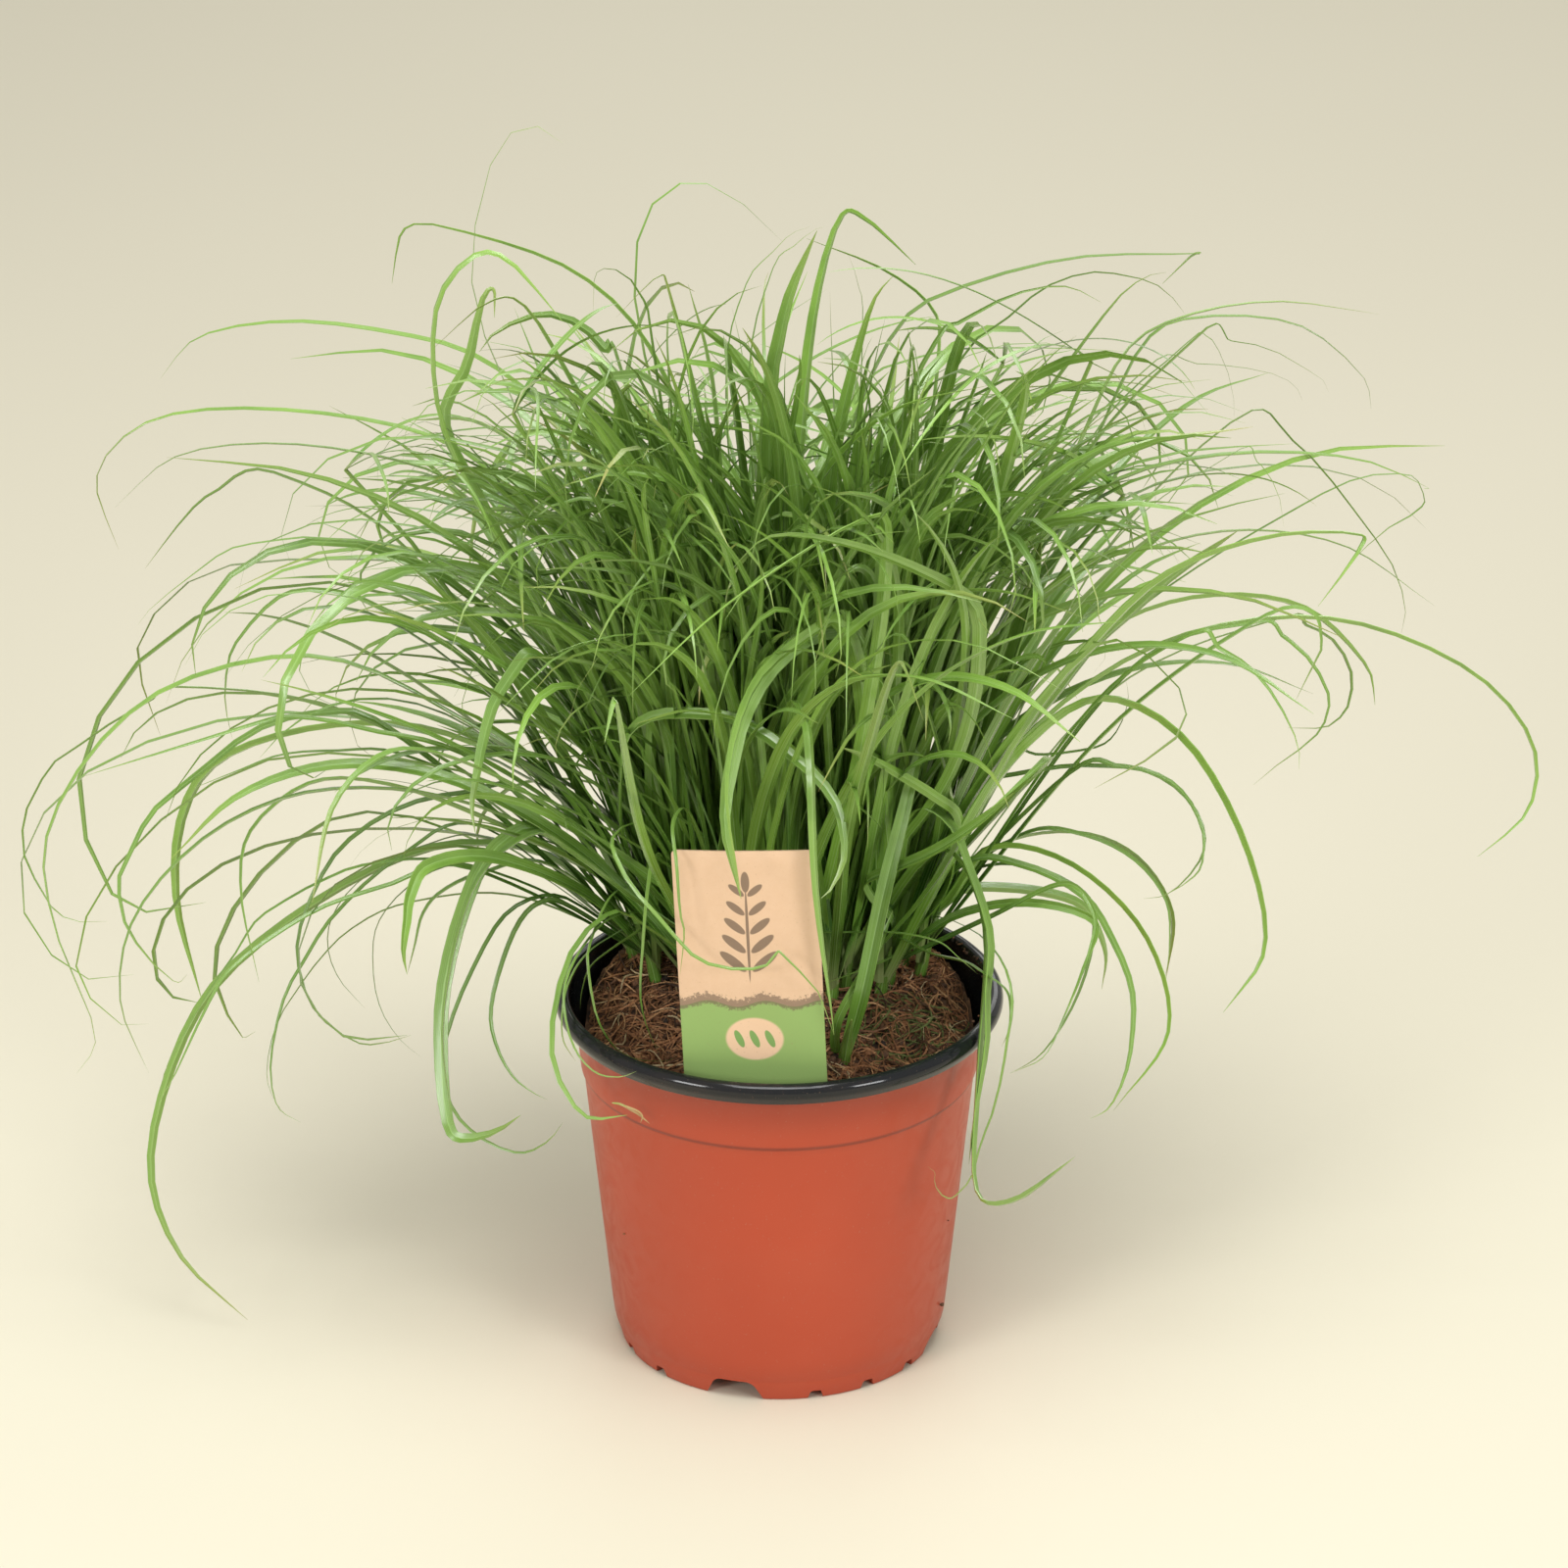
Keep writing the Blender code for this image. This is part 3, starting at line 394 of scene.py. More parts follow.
def soil_finish():
    """Dark, loose peat."""
    made, tree, shader, place = new_material("coir_and_peat", 0.95)
    clumps = new_node(tree, "TexNoise", inputs={"Vector": place, "Scale": 210.0, "Detail": 8.0,
                                                "Roughness": 0.7}).outputs["Fac"]
    patches = new_node(tree, "TexNoise", inputs={"Vector": place, "Scale": 45.0, "Detail": 3.0}).outputs["Fac"]
    dark = blended(tree, spread(tree, clumps, 0.35, 0.65), (0.018, 0.010, 0.007), (0.18, 0.085, 0.042))
    light = blended(tree, spread(tree, clumps, 0.4, 0.7), (0.055, 0.028, 0.017), (0.36, 0.175, 0.085))
    tree.links.new(blended(tree, spread(tree, patches, 0.4, 0.62), dark, light), shader.inputs["Base Color"])
    bump(tree, shader, clumps, 0.9, 0.002)
    return made


def fibre_finish():
    """Coir fibres and crumbs: each has its own tone, from black-brown through rust to straw and moss green."""
    made, tree, shader, place = new_material("coir_fibre", 0.8)
    tone = new_node(tree, "Attribute", attribute_name="tone").outputs["Fac"]
    ramp = new_node(tree, "ValToRGB", inputs={"Fac": tone})
    stops = ((0.0, (0.025, 0.014, 0.009)), (0.3, (0.14, 0.062, 0.028)), (0.55, (0.40, 0.175, 0.075)),
             (0.78, (0.58, 0.33, 0.16)), (0.9, (0.68, 0.53, 0.31)), (1.0, (0.15, 0.18, 0.05)))
    elements = ramp.color_ramp.elements
    for i, (share, colour) in enumerate(stops):
        stop = elements[i] if i < 2 else elements.new(share)
        stop.position = share
        stop.color = (*colour, 1)
    grain = new_node(tree, "TexNoise", inputs={"Vector": place, "Scale": 1400.0, "Detail": 3.0}).outputs["Fac"]
    shade = spread(tree, grain, 0.3, 0.7, 0.65, 1.15)
    tinted = new_node(tree, "VectorMath", operation="SCALE", inputs={0: ramp.outputs["Color"], "Scale": shade})
    tree.links.new(tinted.outputs[0], shader.inputs["Base Color"])
    bump(tree, shader, grain, 0.4, 0.0003)
    return made


def leaf_finish():
    """Sedge leaf: long veins, a painted highlight down the crease, a pale foot, a yellow-brown tip, and a tone of
    its own for each.
    """
    made, tree, shader, place = new_material("sedge_leaf", 0.3, Specular_IOR_Level=0.6, Coat_Weight=0.35,
                                             Coat_Roughness=0.14)
    blade = new_node(tree, "UVMap", uv_map="blade_map").outputs["UV"]
    apart = new_node(tree, "SeparateXYZ", inputs={"Vector": blade}).outputs
    tone = new_node(tree, "Attribute", attribute_name="tone").outputs["Fac"]
    dryness = new_node(tree, "Attribute", attribute_name="dryness").outputs["Fac"]
    stretched = new_node(tree, "Mapping", inputs={"Vector": blade, "Scale": (26.0, 2.2, 1.0)}).outputs[0]
    mixed = new_node(tree, "VectorMath", operation="ADD", inputs={0: stretched, 1: place}).outputs[0]
    veins = new_node(tree, "TexNoise", inputs={"Vector": mixed, "Scale": 1.0, "Detail": 3.0}).outputs["Fac"]
    cloud = new_node(tree, "TexNoise", inputs={"Vector": place, "Scale": 60.0, "Detail": 2.0}).outputs["Fac"]
    green = blended(tree, tone, (0.028, 0.102, 0.010), (0.215, 0.425, 0.055))
    upper = blended(tree, spread(tree, apart[1], 0.1, 0.5, 0.0, 0.42), green, (0.265, 0.405, 0.085))
    cool = blended(tree, spread(tree, cloud, 0.5, 0.3, 0.0, 0.38), upper, (0.075, 0.18, 0.025))
    veined = blended(tree, spread(tree, veins, 0.35, 0.7, 0.0, 0.22), cool, (0.31, 0.50, 0.11))
    # Painted highlight: a pale line down the middle of each blade, where its fold catches the light.
    middle = maths(tree, "ABSOLUTE", maths(tree, "SUBTRACT", apart[0], 0.5))
    crease = blended(tree, spread(tree, middle, 0.07, 0.015, 0.0, 0.45), veined, (0.38, 0.60, 0.20))
    foot = blended(tree, spread(tree, apart[1], 0.10, 0.0, 0.0, 0.75), crease, (0.42, 0.50, 0.20))
    past = maths(tree, "ADD", apart[1], maths(tree, "MULTIPLY", dryness, 0.5))
    olive = blended(tree, spread(tree, past, 0.92, 1.12, 0.0, 0.8), foot, (0.30, 0.36, 0.085))
    straw = blended(tree, spread(tree, past, 1.06, 1.25), olive, (0.44, 0.30, 0.12))
    tree.links.new(straw, shader.inputs["Base Color"])
    tree.links.new(spread(tree, veins, 0.3, 0.7, 0.17, 0.33), shader.inputs["Roughness"])
    bump(tree, shader, veins, 0.25, 0.0003)
    return made


def card_finish(dusting, oval):
    """Card with a plain two-colour print: a leafy sprig over a green band with a pale disc."""
    made, tree, shader, place = new_material("printed_card", 0.62)
    print_place = new_node(tree, "UVMap", uv_map="print_map").outputs["UV"]
    place_mm = new_node(tree, "Mapping", inputs={"Vector": print_place,
                                                 "Scale": (100.0, 100.0, 1.0)}).outputs[0]
    apart = new_node(tree, "SeparateXYZ", inputs={"Vector": place_mm}).outputs
    card = (0.73, 0.50, 0.33)
    green = (0.275, 0.42, 0.125)
    ink = (0.16, 0.105, 0.07)
    fibres = new_node(tree, "TexNoise", inputs={"Vector": place, "Scale": 420.0, "Detail": 5.0,
                                                "Roughness": 0.7}).outputs["Fac"]
    paper = blended(tree, spread(tree, fibres, 0.3, 0.7, 0.0, 0.25), card, (0.66, 0.42, 0.25))
    wave = maths(tree, "MULTIPLY", maths(tree, "SINE", maths(tree, "MULTIPLY", apart[0], 0.42)), 0.9)
    hill = maths(tree, "SUBTRACT", apart[1], maths(tree, "ADD", wave, 19.0))
    ragged = new_node(tree, "TexNoise", inputs={"Vector": place_mm, "Scale": 0.9, "Detail": 6.0,
                                                "Roughness": 0.75}).outputs["Fac"]
    tuft = maths(tree, "ADD", hill, maths(tree, "MULTIPLY", ragged, -8.0))
    frayed = maths(tree, "ADD", hill, maths(tree, "MULTIPLY", ragged, 5.0))
    fringe = maths(tree, "MULTIPLY", spread(tree, tuft, -1.6, -2.4), spread(tree, frayed, 1.2, 2.0))
    banded = blended(tree, spread(tree, hill, 0.12, -0.12), paper, green)
    banded = blended(tree, maths(tree, "MULTIPLY", fringe, 0.75), banded, ink)
    marks = None
    for across, high, turn, length, width in sprig_ovals():
        mask = place_group(tree, oval, place=place_mm, across=across, high=high, turn=turn, length=length,
                           width=width)["Mask"]
        marks = mask if marks is None else maths(tree, "MAXIMUM", marks, mask)
    sprig = blended(tree, maths(tree, "MULTIPLY", marks, 0.85), banded, ink)
    disc = place_group(tree, oval, place=place_mm, across=0.4, high=8.6, turn=0.0, length=15.0,
                       width=12.4)["Mask"]
    with_disc = blended(tree, disc, sprig, (0.80, 0.55, 0.36))
    seed = None
    for across in (-3.6, 0.4, 4.4):
        mask = place_group(tree, oval, place=place_mm, across=across, high=8.6, turn=1.2, length=5.4,
                           width=1.9)["Mask"]
        seed = mask if seed is None else maths(tree, "MAXIMUM", seed, mask)
    printed = blended(tree, seed, with_disc, (0.20, 0.36, 0.10))
    dusted = place_group(tree, dusting, place=place, colour=printed, dust=(0.30, 0.18, 0.10),
                         fineness=1600.0, specks=0.25, patches=0.05)
    tree.links.new(dusted["Colour"], shader.inputs["Base Color"])
    bump(tree, shader, fibres, 0.12, 0.0003)
    return made


def sprig_ovals():
    """The ovals of the label's sprig, in millimetres: a stem, a bud, and pairs of leaves that shrink upwards."""
    ovals = [(0.0, 39.0, math.pi / 2, 27.0, 0.8), (0.0, 54.6, math.pi / 2, 6.0, 2.2)]
    for i in range(5):
        high = 29.0 + 5.2 * i
        length = 8.6 - 0.9 * i
        for side in (-1, 1):
            ovals.append((side * length * 0.48, high + 2.4, side * -0.72, length, 2.6 - 0.2 * i))
    return ovals


# Patterns that are modelled once and laid many times

class Pattern:
    """A small modelled shape, one long along Y, read once so that copies of it can be laid along routes."""

    def __init__(self, piece, rows):
        mesh = piece.data
        places = np.empty(len(mesh.vertices) * 3)
        mesh.vertices.foreach_get("co", places)
        places = places.reshape(-1, 3)
        self.across = places[:, 0]
        self.up = places[:, 2]
        self.rows = rows
        self.row = np.rint(places[:, 1] * rows).astype(int)
        self.corners = np.empty(len(mesh.loops), int)
        mesh.loops.foreach_get("vertex_index", self.corners)
        self.sizes = np.empty(len(mesh.polygons), int)
        mesh.polygons.foreach_get("loop_total", self.sizes)
        bpy.data.objects.remove(piece)


class Bundle:
    """Copies of patterns that are joined in one piece."""

    def __init__(self):
        self.places = []
        self.corners = []
        self.sizes = []
        self.maps = []
        self.tones = []
        self.dryness = []
        self.count = 0

    def add(self, places, corners, sizes, across, along, tone, dryness):
        """Adds one copy, whose vertices are placed."""
        self.places.append(places)
        self.corners.append(corners + self.count)
        self.sizes.append(sizes)
        self.maps.append(np.stack((across[corners], along[corners]), axis=1))
        self.tones.append(np.full(len(places), tone))
        self.dryness.append(np.full(len(places), dryness))
        self.count += len(places)

    def lay(self, pattern, route, widths, up, tone, dryness=0.0, twist=(0.0, 0.0)):
        """Lays a copy of a pattern along a route of points, as wide at each as told, its upper side up."""
        points, share = route
        across, ups = frames(points, up)
        angle = (twist[0] + twist[1] * share)[:, None]
        side = across * np.cos(angle) + ups * np.sin(angle)
        top = ups * np.cos(angle) - across * np.sin(angle)
        width = widths[pattern.row][:, None]
        places = points[pattern.row] + side[pattern.row] * width * pattern.across[:, None]
        places = places + top[pattern.row] * width * pattern.up[:, None]
        self.add(places, pattern.corners, pattern.sizes, pattern.across + 0.5, share[pattern.row], tone,
                 dryness)

    def piece(self, name, finish, map_name, sharp=28):
        """The joined piece."""
        mesh = bpy.data.meshes.new(name)
        places = np.concatenate(self.places)
        corners = np.concatenate(self.corners)
        sizes = np.concatenate(self.sizes)
        mesh.vertices.add(len(places))
        mesh.vertices.foreach_set("co", places.ravel())
        mesh.loops.add(len(corners))
        mesh.loops.foreach_set("vertex_index", corners)
        mesh.polygons.add(len(sizes))
        mesh.polygons.foreach_set("loop_start", np.cumsum(sizes) - sizes)
        mesh.update(calc_edges=True)
        mesh.uv_layers.new(name=map_name)
        mesh.uv_layers[map_name].uv.foreach_set("vector", np.concatenate(self.maps).ravel())
        for label, values in (("tone", self.tones), ("dryness", self.dryness)):
            mesh.attributes.new(label, "FLOAT", "POINT").data.foreach_set("value", np.concatenate(values))
        mesh.shade_smooth()
        mesh.set_sharp_from_angle(angle=math.radians(sharp))
        mesh.materials.append(finish)
        made = bpy.data.objects.new(name, mesh)
        bpy.context.collection.objects.link(made)
        return made


def unit(vector):
    """A vector of length one."""
    return vector / max(np.linalg.norm(vector), 1e-12)


def frames(points, up):
    """The across and up directions at each point of a route, carried along it without twist."""
    along = np.gradient(points, axis=0)
    ups = np.empty_like(points)
    for i in range(len(points)):
        along[i] = unit(along[i])
        up = up - up.dot(along[i]) * along[i]
        if np.linalg.norm(up) < 1e-6:
            up = np.array((along[i][1], -along[i][0], 0.01))
        up = unit(up)
        ups[i] = up
    return np.cross(along, ups), ups


def smooth_route(points, rows, steps=10):
    """A smooth curve through points, read at rows + 1 places that crowd where it bends, and their shares of it."""
    points = np.asarray(points, float)
    ends = np.vstack((2 * points[0] - points[1], points, 2 * points[-1] - points[-2]))
    t = (np.arange(steps) / steps)[:, None]
    parts = []
    for a, b, c, d in zip(ends, ends[1:], ends[2:], ends[3:]):
        parts.append(0.5 * (2 * b + (c - a) * t + (2 * a - 5 * b + 4 * c - d) * t ** 2
                            + (3 * b - a - 3 * c + d) * t ** 3))
    curve = np.vstack(parts + [points[-1:]])
    spans = np.diff(curve, axis=0)
    lengths = np.linalg.norm(spans, axis=1)
    directions = spans / np.maximum(lengths, 1e-9)[:, None]
    turns = np.zeros(len(lengths))
    turns[1:] = np.arccos(np.clip((directions[1:] * directions[:-1]).sum(1), -1, 1))
    walked = np.concatenate(((0,), np.cumsum(lengths)))
    weighed = np.concatenate(((0,), np.cumsum(lengths + BEND_WEIGHT * turns)))
    wanted = np.linspace(0, weighed[-1], rows + 1)
    at = np.stack([np.interp(wanted, weighed, curve[:, axis]) for axis in range(3)], axis=1)
    return at, np.interp(wanted, weighed, walked) / walked[-1]


def blade_widths(share, width, foot=0.7, taper=4.5):
    """A blade's width along it: narrower at the foot, full early on, then drawn out to a hair tip."""
    opening = foot + (1 - foot) * np.minimum(1.0, share / 0.16)
    return width * opening * np.maximum(0.02, 1 - share ** taper) ** 0.95


def blade_pattern(name, wings, rows):
    """A blade one long and one wide, folded down its middle and given the thickness of a leaf."""
    blade = start(bpy.ops.mesh.primitive_grid_add, name, x_subdivisions=wings, y_subdivisions=rows, size=1,
                  location=(0, 0.5, 0))
    bpy.ops.object.transform_apply(location=True)
    edit(blade, lambda place: abs(place.x) < 0.01)
    bpy.ops.transform.translate(value=(0, 0, -BLADE_FOLD))
    if wings > 2:
        edit(blade, lambda place: 0.2 < abs(place.x) < 0.3)
        bpy.ops.transform.translate(value=(0, 0, -0.42 * BLADE_FOLD))
    leave()
    modify(blade, "SOLIDIFY", thickness=BLADE_THICKNESS, offset=0.0)
    return Pattern(blade, rows)


def fine_pattern(name, rows):
    """A blade one long and one wide, four-sided: two edges, the crease between them and the keel below it."""
    blade = start(bpy.ops.mesh.primitive_cylinder_add, name, vertices=4, radius=0.5, depth=1,
                  location=(0, 0.5, 0), rotation=(math.pi / 2, 0, 0))
    bpy.ops.object.transform_apply(location=True, rotation=True)
    edit(blade, lambda place: place.z > 0.3)
    bpy.ops.transform.translate(value=(0, 0, BLADE_THICKNESS - 0.5 - BLADE_FOLD))
    edit(blade, lambda place: place.z < -0.3)
    bpy.ops.transform.translate(value=(0, 0, 0.5 - BLADE_FOLD))
    for i in range(1, rows):
        bpy.ops.mesh.select_all(action="SELECT")
        bpy.ops.mesh.bisect(plane_co=(0, i / rows, 0), plane_no=(0, 1, 0))
    leave()
    return Pattern(blade, rows)


def stem_pattern(name, sides, rows):
    """A closed stem one long and one wide."""
    stem = start(bpy.ops.mesh.primitive_cylinder_add, name, vertices=sides, radius=0.5, depth=1,
                 location=(0, 0.5, 0), rotation=(math.pi / 2, 0, 0))
    bpy.ops.object.transform_apply(location=True, rotation=True)
    edit(stem)
    for i in range(1, rows):
        bpy.ops.mesh.select_all(action="SELECT")
        bpy.ops.mesh.bisect(plane_co=(0, i / rows, 0), plane_no=(0, 1, 0))
    leave()
    return Pattern(stem, rows)


# The pot

def pot_section():
    """The pot's section, from the middle of its underside round the rim to the middle of its floor."""
    foot_inside = FOOT_RADIUS - 4.4 * MM
    roll = (RIM_RADIUS - 2.1 * MM, ROLL_FOOT + 3.2 * MM)
    places = [(4 * MM, FOOT_HEIGHT), (foot_inside - 1.2 * MM, FOOT_HEIGHT)]
    places += [(foot_inside - 0.5 * MM, FOOT_HEIGHT - 0.4 * MM), (foot_inside - 0.1 * MM, 0.6 * MM)]
    places += arc((foot_inside + 0.6 * MM, 0.6 * MM), (0.6 * MM, 0.6 * MM), 180, 270, 3)
    places += arc((FOOT_RADIUS - 0.6 * MM, 0.6 * MM), (0.6 * MM, 0.6 * MM), 270, 350, 3)
    places += [(FOOT_RADIUS + 0.5 * MM, 2.6 * MM), (FOOT_TOP_RADIUS - 0.35 * MM, FOOT_HEIGHT - 1.0 * MM)]
    places += [(FOOT_TOP_RADIUS - 0.3 * MM, FOOT_HEIGHT), (FOOT_TOP_RADIUS, FOOT_HEIGHT + 0.5 * MM)]
    for i in range(1, 13):
        share = i / 12.4
        places.append((FOOT_TOP_RADIUS + share * (STEP_RADIUS - FOOT_TOP_RADIUS),
                       FOOT_HEIGHT + share * (STEP_HEIGHT - FOOT_HEIGHT)))
    places += [(STEP_RADIUS, STEP_HEIGHT - 0.3 * MM), (STEP_RADIUS + 0.2 * MM, STEP_HEIGHT + 0.1 * MM)]
    places += [(STEP_RADIUS + 0.6 * MM, STEP_HEIGHT + 0.5 * MM), (STEP_RADIUS + 0.75 * MM, STEP_HEIGHT + 1.1 * MM)]
    places += [(STEP_RADIUS + 1.1 * MM, STEP_HEIGHT + 5 * MM), (STEP_RADIUS + 1.6 * MM, STEP_HEIGHT + 10 * MM)]
    places += [(STEP_RADIUS + 2.1 * MM, ROLL_FOOT - 2.4 * MM), (STEP_RADIUS + 2.8 * MM, ROLL_FOOT - 1.0 * MM)]
    places += [(STEP_RADIUS + 4.0 * MM, ROLL_FOOT - 0.2 * MM), (RIM_RADIUS - 1.6 * MM, ROLL_FOOT)]
    places += arc(roll, (2.1 * MM, 2.4 * MM), -40, 90, 9)
    places += arc((roll[0] - 0.2 * MM, roll[1]), (1.9 * MM, 2.4 * MM), 100, 165, 5)
    places += [(STEP_RADIUS + 2.9 * MM, ROLL_FOOT + 0.4 * MM), (STEP_RADIUS + 1.6 * MM, ROLL_FOOT - 2.4 * MM)]
    places += [(STEP_RADIUS + 0.9 * MM, ROLL_FOOT - 7 * MM), (STEP_RADIUS - 0.2 * MM, STEP_HEIGHT + 0.6 * MM)]
    places += [(STEP_RADIUS - WALL, STEP_HEIGHT - 0.4 * MM), (FOOT_TOP_RADIUS - WALL, FOOT_HEIGHT + WALL)]
    return places + [(4 * MM, FOOT_HEIGHT + WALL)]


def notch_cutter(angle, width, height):
    """A wedge-sided block that cuts one notch in the foot, wider at the bottom."""
    block = start(bpy.ops.mesh.primitive_cube_add, "notch", size=1, location=(0, -FOOT_RADIUS, 0),
                  scale=(width, 14 * MM, 2 * height))
    bpy.ops.object.transform_apply(location=True, scale=True)
    edit(block, lambda place: place.z < 0)
    bpy.ops.transform.resize(value=(2.1, 1, 1), center_override=(0, -FOOT_RADIUS, 0))
    edit(block, lambda place: place.z > 0)
    bpy.ops.mesh.bevel(offset=0.16 * width, segments=3, affect="EDGES")
    leave()
    block.matrix_world = Matrix.Rotation(math.radians(angle), 4, "Z")
    bpy.ops.object.transform_apply(rotation=True)
    return block


def make_pot(outside, inside):
    """The pot: turned, then notched and drilled."""
    pot = turned("nursery_pot", pot_section(), POT_SIDES)
    tools = [notch_cutter(angle, 10.2 * MM, FOOT_HEIGHT - 0.7 * MM) for angle in WIDE_NOTCH_ANGLES]
    for i in range(SMALL_NOTCHES):
        angle = 360 * (i + SMALL_NOTCH_SHIFT) / SMALL_NOTCHES
        apart = min(abs((angle - other + 180) % 360 - 180) for other in WIDE_NOTCH_ANGLES)
        if apart > 14:
            tools.append(notch_cutter(angle, 2.8 * MM, 2.5 * MM))
    for i in range(DRAIN_HOLES):
        angle = 2 * math.pi * i / DRAIN_HOLES
        tools.append(start(bpy.ops.mesh.primitive_cylinder_add, "drain", vertices=24, radius=DRAIN_RADIUS,
                           depth=6 * MM, location=(DRAIN_CIRCLE * math.cos(angle),
                                                   DRAIN_CIRCLE * math.sin(angle), FOOT_HEIGHT)))
    for tool in tools:
        modify(pot, "BOOLEAN", operation="DIFFERENCE", solver="EXACT", object=tool)
        bpy.data.objects.remove(tool)
    pot.data.materials.clear()
    pot.data.materials.append(outside)
    pot.data.materials.append(inside)
    for face in pot.data.polygons:
        radial = Vector((face.center.x, face.center.y, 0)).normalized()
        faces_in = face.normal.dot(radial) < -0.3 and face.center.z > FOOT_HEIGHT + WALL
        on_floor = face.normal.z > 0.9 and face.center.z > FOOT_HEIGHT + 0.5 * WALL
        if face.center.z > ROLL_FOOT + 0.3 * MM or faces_in or on_floor:
            face.material_index = 1
    smooth(pot, 32)
    return finished(pot, "pot", "pot")


# The soil

def node_tree_of(*names):
    """A search tree over the frame's own solids."""
    verts = []
    faces = []
    for name in names:
        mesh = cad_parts[name].data
        first = len(verts)
        verts.extend(v.co.copy() for v in mesh.vertices)
        faces.extend(tuple(first + i for i in face.vertices) for face in mesh.polygons)
    return BVHTree.FromPolygons(verts, faces)


def ground_height(ground, x, y):
    """Height of the soil's solid at a place, taken at its edge beyond it."""
    reach = math.hypot(x, y)
    limit = 0.985 * SOIL_RADIUS
    if reach > limit:
        x, y = x * limit / reach, y * limit / reach
    hit = ground.ray_cast(Vector((x, y, 1)), Vector((0, 0, -1)))
    return hit[0].z


def lumps(x, y):
    """Lumps of the soil's surface."""
    place = Vector((x, y, 0))
    broad = noise.fractal(place * 85, 0.9, 2.1, 3)
    small = noise.fractal(place * 300 + Vector((7, 3, 1)), 0.8, 2.2, 4)
    edge = min(1.0, max(0.0, (math.hypot(x, y) / SOIL_RADIUS - 0.72) / 0.28))
    return 1.7 * MM * broad + 1.2 * MM * small + 2.0 * MM * edge * edge


def make_soil(ground, finish):
    """The root ball, with a lumpy top."""
    floor = FOOT_HEIGHT + 1.3 * MM
    section = [(4 * MM, floor), (FOOT_TOP_RADIUS - 1.8 * MM, floor), (SOIL_RADIUS, STEP_HEIGHT - MM)]
    section += [(SOIL_TOP_RADIUS, STEP_HEIGHT + 2 * MM)]
    section += [(SOIL_TOP_RADIUS * (1 - i / SOIL_RINGS), STEP_HEIGHT + 3 * MM) for i in range(SOIL_RINGS)]
    soil = turned("root_ball", section, SOIL_SIDES)
    for vert in soil.data.vertices:
        if vert.co.z > STEP_HEIGHT + 2.5 * MM:
            vert.co.z = ground_height(ground, vert.co.x, vert.co.y) + lumps(vert.co.x, vert.co.y)
    soil.data.materials.clear()
    soil.data.materials.append(finish)
    smooth(soil, 60)
    return finished(soil, "soil", "soil")


def soil_place(draw, limit=0.99):
    """A place drawn evenly over the soil."""
    radius = SOIL_RADIUS * limit * math.sqrt(draw.random())
    angle = draw.uniform(0, 2 * math.pi)
    return radius * math.cos(angle), radius * math.sin(angle)


def fibre_tone(draw, x, y):
    """A fibre's tone: dark to rust, with some straw, and moss green in a patch behind the right edge."""
    green = math.hypot(x - 33 * MM, y + 8 * MM) < 17 * MM
    if green and draw.random() < 0.35:
        return 1.0
    return min(0.9, max(0.08, draw.gauss(0.5, 0.19)))


def make_fibres(ground, strand, finish):
    """Coir fibres that lie over and through each other on the soil."""
    draw = random.Random(31)
    bundle = Bundle()
    for _ in range(FIBRES):
        x, y = soil_place(draw)
        heading = draw.uniform(0, 2 * math.pi)
        curl = draw.gauss(0, 1.3)
        length = draw.uniform(4, 19) * MM
        arch = draw.uniform(0.2, 2.2) * MM * length / (12 * MM)
        points = []
        for i in range(5):
            share = i / 4
            angle = heading + curl * (share - 0.5)
            px = x + (share - 0.5) * length * math.cos(angle)
            py = y + (share - 0.5) * length * math.sin(angle)
            reach = math.hypot(px, py)
            if reach > SOIL_RADIUS:
                px, py = px * SOIL_RADIUS / reach, py * SOIL_RADIUS / reach
            lift = arch * math.sin(math.pi * share) - 0.25 * MM + draw.uniform(0, 0.5) * MM
            points.append((px, py, ground_height(ground, px, py) + lumps(px, py) + lift))
        route = smooth_route(points, strand.rows, 4)
        width = draw.uniform(0.22, 0.62) * MM
        widths = width * (0.35 + 0.65 * np.sin(np.pi * np.clip(route[1], 0.06, 0.94)))
        bundle.lay(strand, route, widths, np.array((0.0, 0.0, 1.0)), fibre_tone(draw, x, y))
    fibres = bundle.piece("coir_fibres", finish, "strand_map", 80)
    return finished(fibres, "soil")


